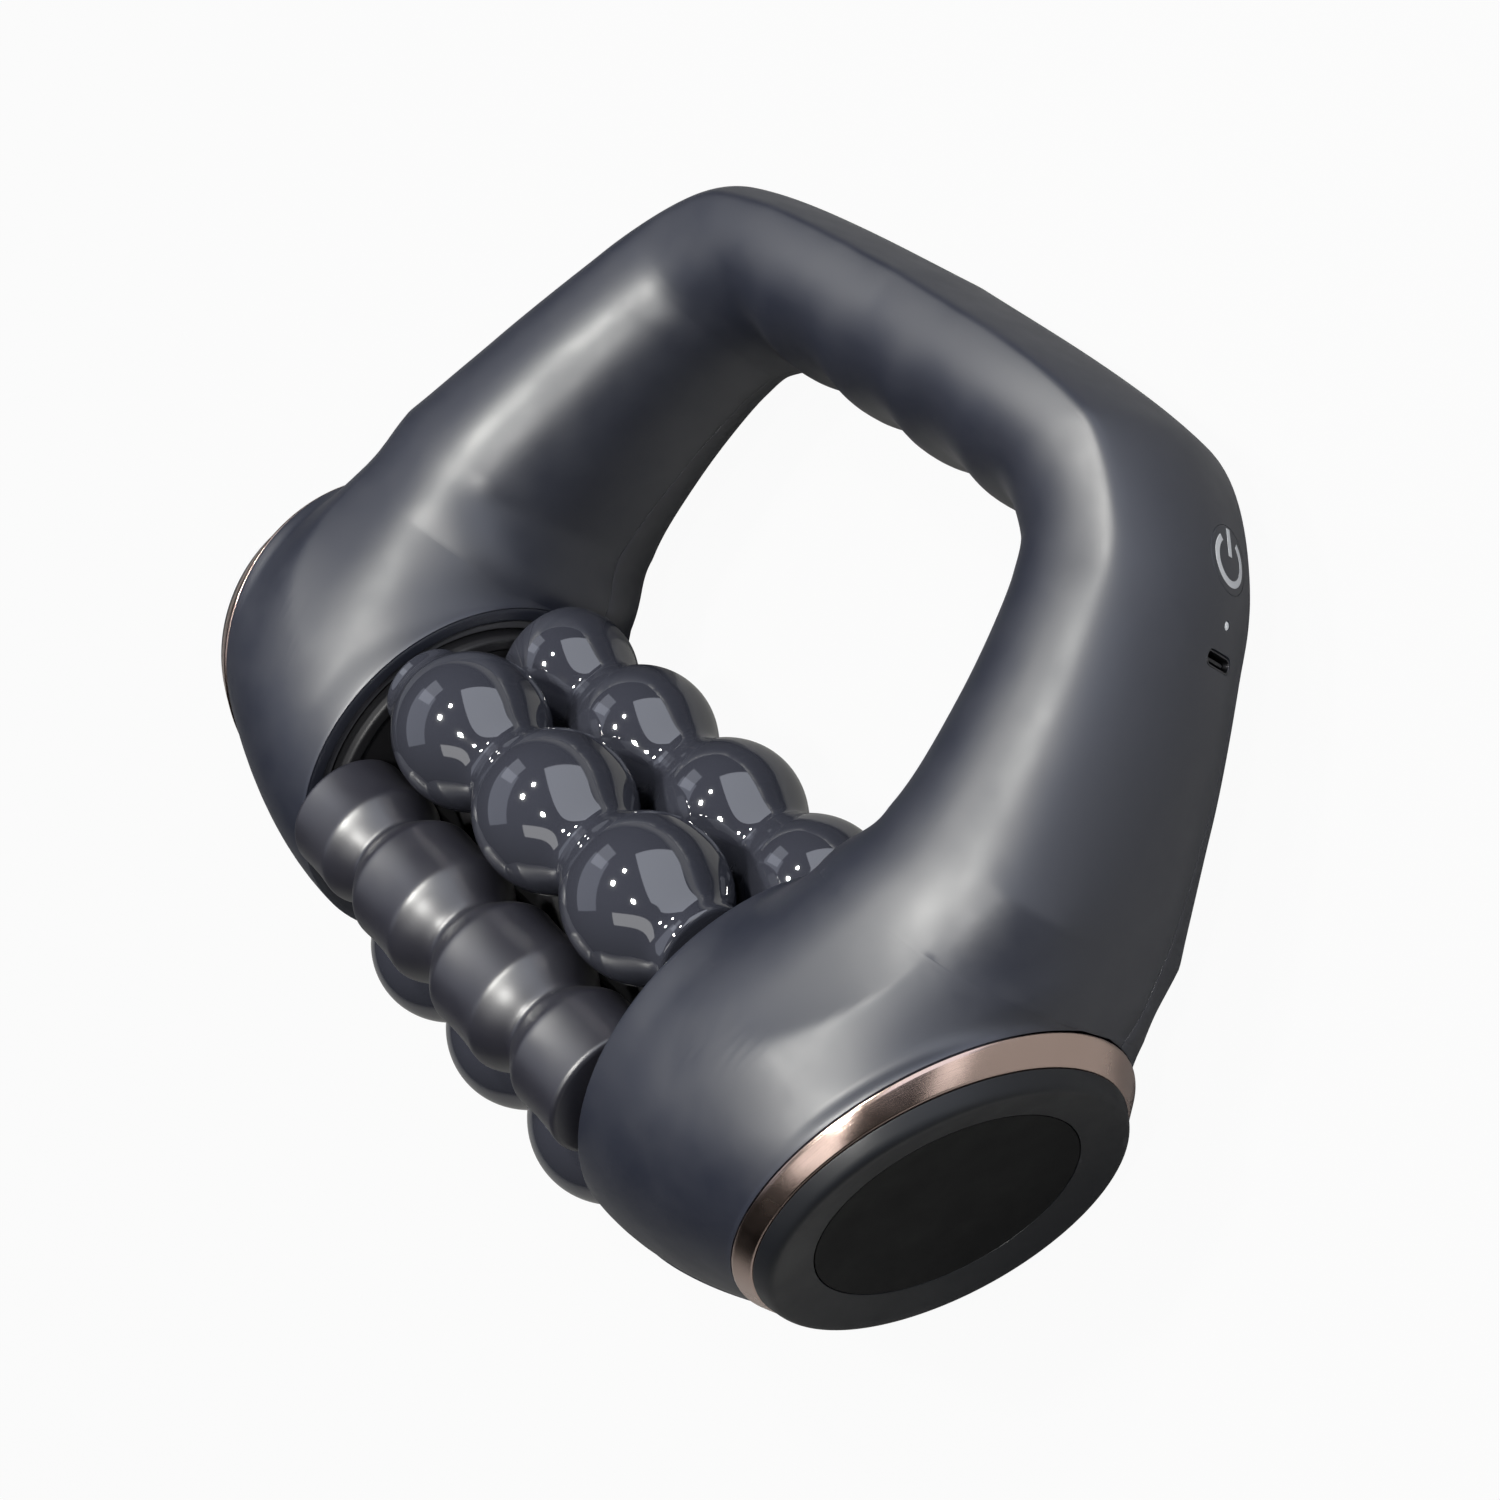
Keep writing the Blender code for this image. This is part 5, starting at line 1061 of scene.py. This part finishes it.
dress(front_skin, slate, "housing", "slate_plastic", "front_shell")
dress(rear_skin, slate, "housing", "slate_plastic", "rear_cover")
dress(cups, slate, "housing", "slate_plastic")
dress(key, slate, "button", "slate_plastic", "power_button")
dress(ring_band, print_pale, "button", "clear_light")
dress(bar_band, print_pale, "button", "clear_light")
# The inlet's shell takes the darkened steel, which is painted shade for its slot.
dress(socket, slot_shade_steel, "housing", "steel", "usb_socket")
dress(socket_tongue, cap_black, "housing", "black_plastic")
dress(light, clear, "housing", "clear_light", "light_pipe")
for piece in lips:
    dress(piece, slate, "housing", "slate_plastic")
for word, (ring, cap, insert) in ends.items():
    dress(ring, rose, "housing", "rose_gold", f"trim_ring_{word}")
    dress(cap, cap_black, "housing", "black_plastic", f"end_cap_{word}")
    dress(insert, insert_finish, "housing", "insert_black", f"cap_insert_{word}")
for word, (bezel, carrier) in mouths.items():
    dress(bezel, bezel_finish, "housing", "bezel_grey", f"mouth_bezel_{word}")
    dress(carrier, carrier_finish, "drum", "carrier_plastic", f"carrier_disc_{word}")
for number, piece in rollers.items():
    kind = (satin, "satin_roller") if number == CHANNEL_ROLLER else (gloss, "gloss_roller")
    dress(piece, kind[0], f"roller_body_{number}", kind[1], f"roller_{number}")

kept = {"drum_shaft": steel, "drum_core": carrier_finish, "drum_gear": acetal, "motor_pinion": acetal}
kept |= {"gear_motor": steel, "motor_bracket": zinc, "battery_tray": cap_black, "button_switch": cap_black}
kept |= {"control_board": board_finish, "battery_cell_front": sleeve, "battery_cell_rear": sleeve}
kept |= {f"bearing_plate_{word}": carrier_finish for word in ("left", "right")}
kept |= {f"drum_bearing_{word}": steel for word in ("left", "right")}
kept |= {f"case_screw_{number}": steel for number in range(1, 7)}
kept |= {f"roller_axle_{number}": steel for number in range(1, 7)}
for name, material in kept.items():
    for slot in frame["nodes"][name].material_slots:
        slot.material = material
print("kept nodes with a new finish", len(kept))


# %% [markdown]
# ## Camera, floor and light
#
# The picture is taken from in front and to the right, at the handle's height, with a normal lens, rolled so
# that the drum runs from upper left to lower right. The floor is white to the camera and keeps a faint
# shadow; in reflections it is grey, because a white one would lift the dark plastic. Three small warm lamps
# draw the highlights along the arms and barrels, a large cool window gives the beads their bright panes, one
# lamp from behind draws rims, and broad weak ones fill the left side, the lower right and the underside.

# %% Camera
camera_right = np.array([0.59418, 0.60512, 0.52989])
camera_down = np.array([0.49806, 0.2405, -0.83313])
camera_forward = np.array([-0.63158, 0.75894, -0.15848])
camera_axes = design_axes @ np.stack([camera_right, -camera_down, -camera_forward], axis=1)
camera_place = in_place([312.655, -362.64, 121.43])
SENSOR = 36
PICTURE_WIDTH = 1500
FOCAL_PIXELS = 2323.117
camera_data = bpy.data.cameras.new("camera")
camera_data.sensor_width = SENSOR
camera_data.lens = FOCAL_PIXELS / PICTURE_WIDTH * SENSOR
camera_data.clip_start = 0.01
camera = bpy.data.objects.new("camera", camera_data)
camera.matrix_world = Matrix.Translation(Vector(camera_place)) @ Matrix(camera_axes.tolist()).to_4x4()
bpy.context.scene.collection.objects.link(camera)
bpy.context.scene.camera = camera
print("camera at", camera_place.round(3), "lens", round(camera_data.lens, 2))


# %% Floor and world
FLOOR_HALF = 6
FLOOR_GREY = 0.22
FLOOR_WHITE = 0.95
WORLD_STRENGTH = 0.03


def white_to_camera(tree, plain, white, output, share=1.0):
    """Mix the plain shader with the white one by a share where a ray comes from the camera or through a clear
    piece: the larger of the light path's two flags."""
    path = tree.nodes.new("ShaderNodeLightPath")
    larger = tree.nodes.new("ShaderNodeMath")
    larger.operation = "MAXIMUM"
    tree.links.new(path.outputs["Is Camera Ray"], larger.inputs[0])
    tree.links.new(path.outputs["Is Transmission Ray"], larger.inputs[1])
    amount = tree.nodes.new("ShaderNodeMath")
    amount.operation = "MULTIPLY"
    amount.inputs[1].default_value = share
    tree.links.new(larger.outputs[0], amount.inputs[0])
    both = tree.nodes.new("ShaderNodeMixShader")
    tree.links.new(amount.outputs[0], both.inputs[0])
    tree.links.new(plain.outputs[0], both.inputs[1])
    tree.links.new(white.outputs[0], both.inputs[2])
    tree.links.new(both.outputs[0], output.inputs["Surface"])


floor_mesh = bpy.data.meshes.new("floor")
corners = [(x * FLOOR_HALF, y * FLOOR_HALF, 0) for x, y in ((-1, -1), (1, -1), (1, 1), (-1, 1))]
floor_mesh.from_pydata(corners, [], [(0, 1, 2, 3)])
floor = bpy.data.objects.new("floor", floor_mesh)
bpy.context.scene.collection.objects.link(floor)
paper = bpy.data.materials.new("paper_floor")
paper.use_nodes = True
tree = paper.node_tree
diffuse = tree.nodes["Principled BSDF"]
diffuse.inputs["Base Color"].default_value = (FLOOR_GREY, FLOOR_GREY, FLOOR_GREY, 1)
diffuse.inputs["Roughness"].default_value = 0.9
diffuse.inputs["Specular IOR Level"].default_value = 0
white = tree.nodes.new("ShaderNodeEmission")
white.inputs["Color"].default_value = (1, 1, 1, 1)
white_to_camera(tree, diffuse, white, tree.nodes["Material Output"], FLOOR_WHITE)
floor_mesh.materials.append(paper)

world = bpy.data.worlds.new("studio")
world.use_nodes = True
bpy.context.scene.world = world
tree = world.node_tree
tree.nodes["Background"].inputs["Strength"].default_value = WORLD_STRENGTH
seen = tree.nodes.new("ShaderNodeBackground")
seen.inputs["Strength"].default_value = 1.0
white_to_camera(tree, tree.nodes["Background"], seen, tree.nodes["World Output"])
bpy.context.scene.view_settings.view_transform = "Standard"
print("floor", 2 * FLOOR_HALF, "m wide, world strength", WORLD_STRENGTH)


# %% Lamps
WARM = (1.0, 0.99, 0.94)
COOL = (0.86, 0.90, 1.0)
lit_point = in_place([0, 0, 50])


def lamp(name, direction, distance, width, height, power, colour=(1, 1, 1)):
    """A soft rectangular lamp that faces the lit point. Its direction from there is given in the camera's own
    directions (right, up, towards the camera)."""
    back = camera_axes @ np.asarray(direction, float)
    back = back / np.linalg.norm(back)
    data = bpy.data.lights.new(name, "AREA")
    data.shape = "RECTANGLE"
    data.size = width
    data.size_y = height
    data.energy = power
    data.color = colour
    right = np.cross(camera_axes[:, 1], back)
    right = right / np.linalg.norm(right)
    turn = Matrix(np.stack([right, np.cross(back, right), back], axis=1).tolist()).to_4x4()
    item = bpy.data.objects.new(name, data)
    item.matrix_world = Matrix.Translation(Vector(lit_point + back * distance)) @ turn
    bpy.context.scene.collection.objects.link(item)
    return item


lamp("key", (-0.68, 0.32, 0.66), 1.1, 0.07, 0.09, 8.5, WARM)
lamp("key_high", (-0.46, 0.58, 0.67), 1.1, 0.06, 0.07, 4.5, WARM)
lamp("key_low", (-0.34, 0.02, 0.94), 1.1, 0.07, 0.08, 6.0, (1.0, 0.99, 0.95))
lamp("window", (0.28, 0.60, 0.75), 1.2, 1.15, 1.5, 7.0, COOL)
lamp("rim", (0.57, 0.31, -0.755), 0.9, 0.15, 0.5, 1.0, (0.9, 0.93, 1.0))
lamp("left", (-0.96, 0.24, 0.12), 1.0, 0.6, 1.0, 1.0, (0.8, 0.85, 1.0))
lamp("upper_left", (-0.74, 0.66, 0.10), 1.0, 0.4, 0.4, 0.35, (0.85, 0.89, 1.0))
lamp("band", (0.74, -0.10, 0.66), 1.0, 0.5, 0.35, 0.6)
lamp("low", (-0.45, -0.36, 0.81), 1.0, 0.6, 0.25, 0.6)
print("lamps", len(bpy.data.lights))
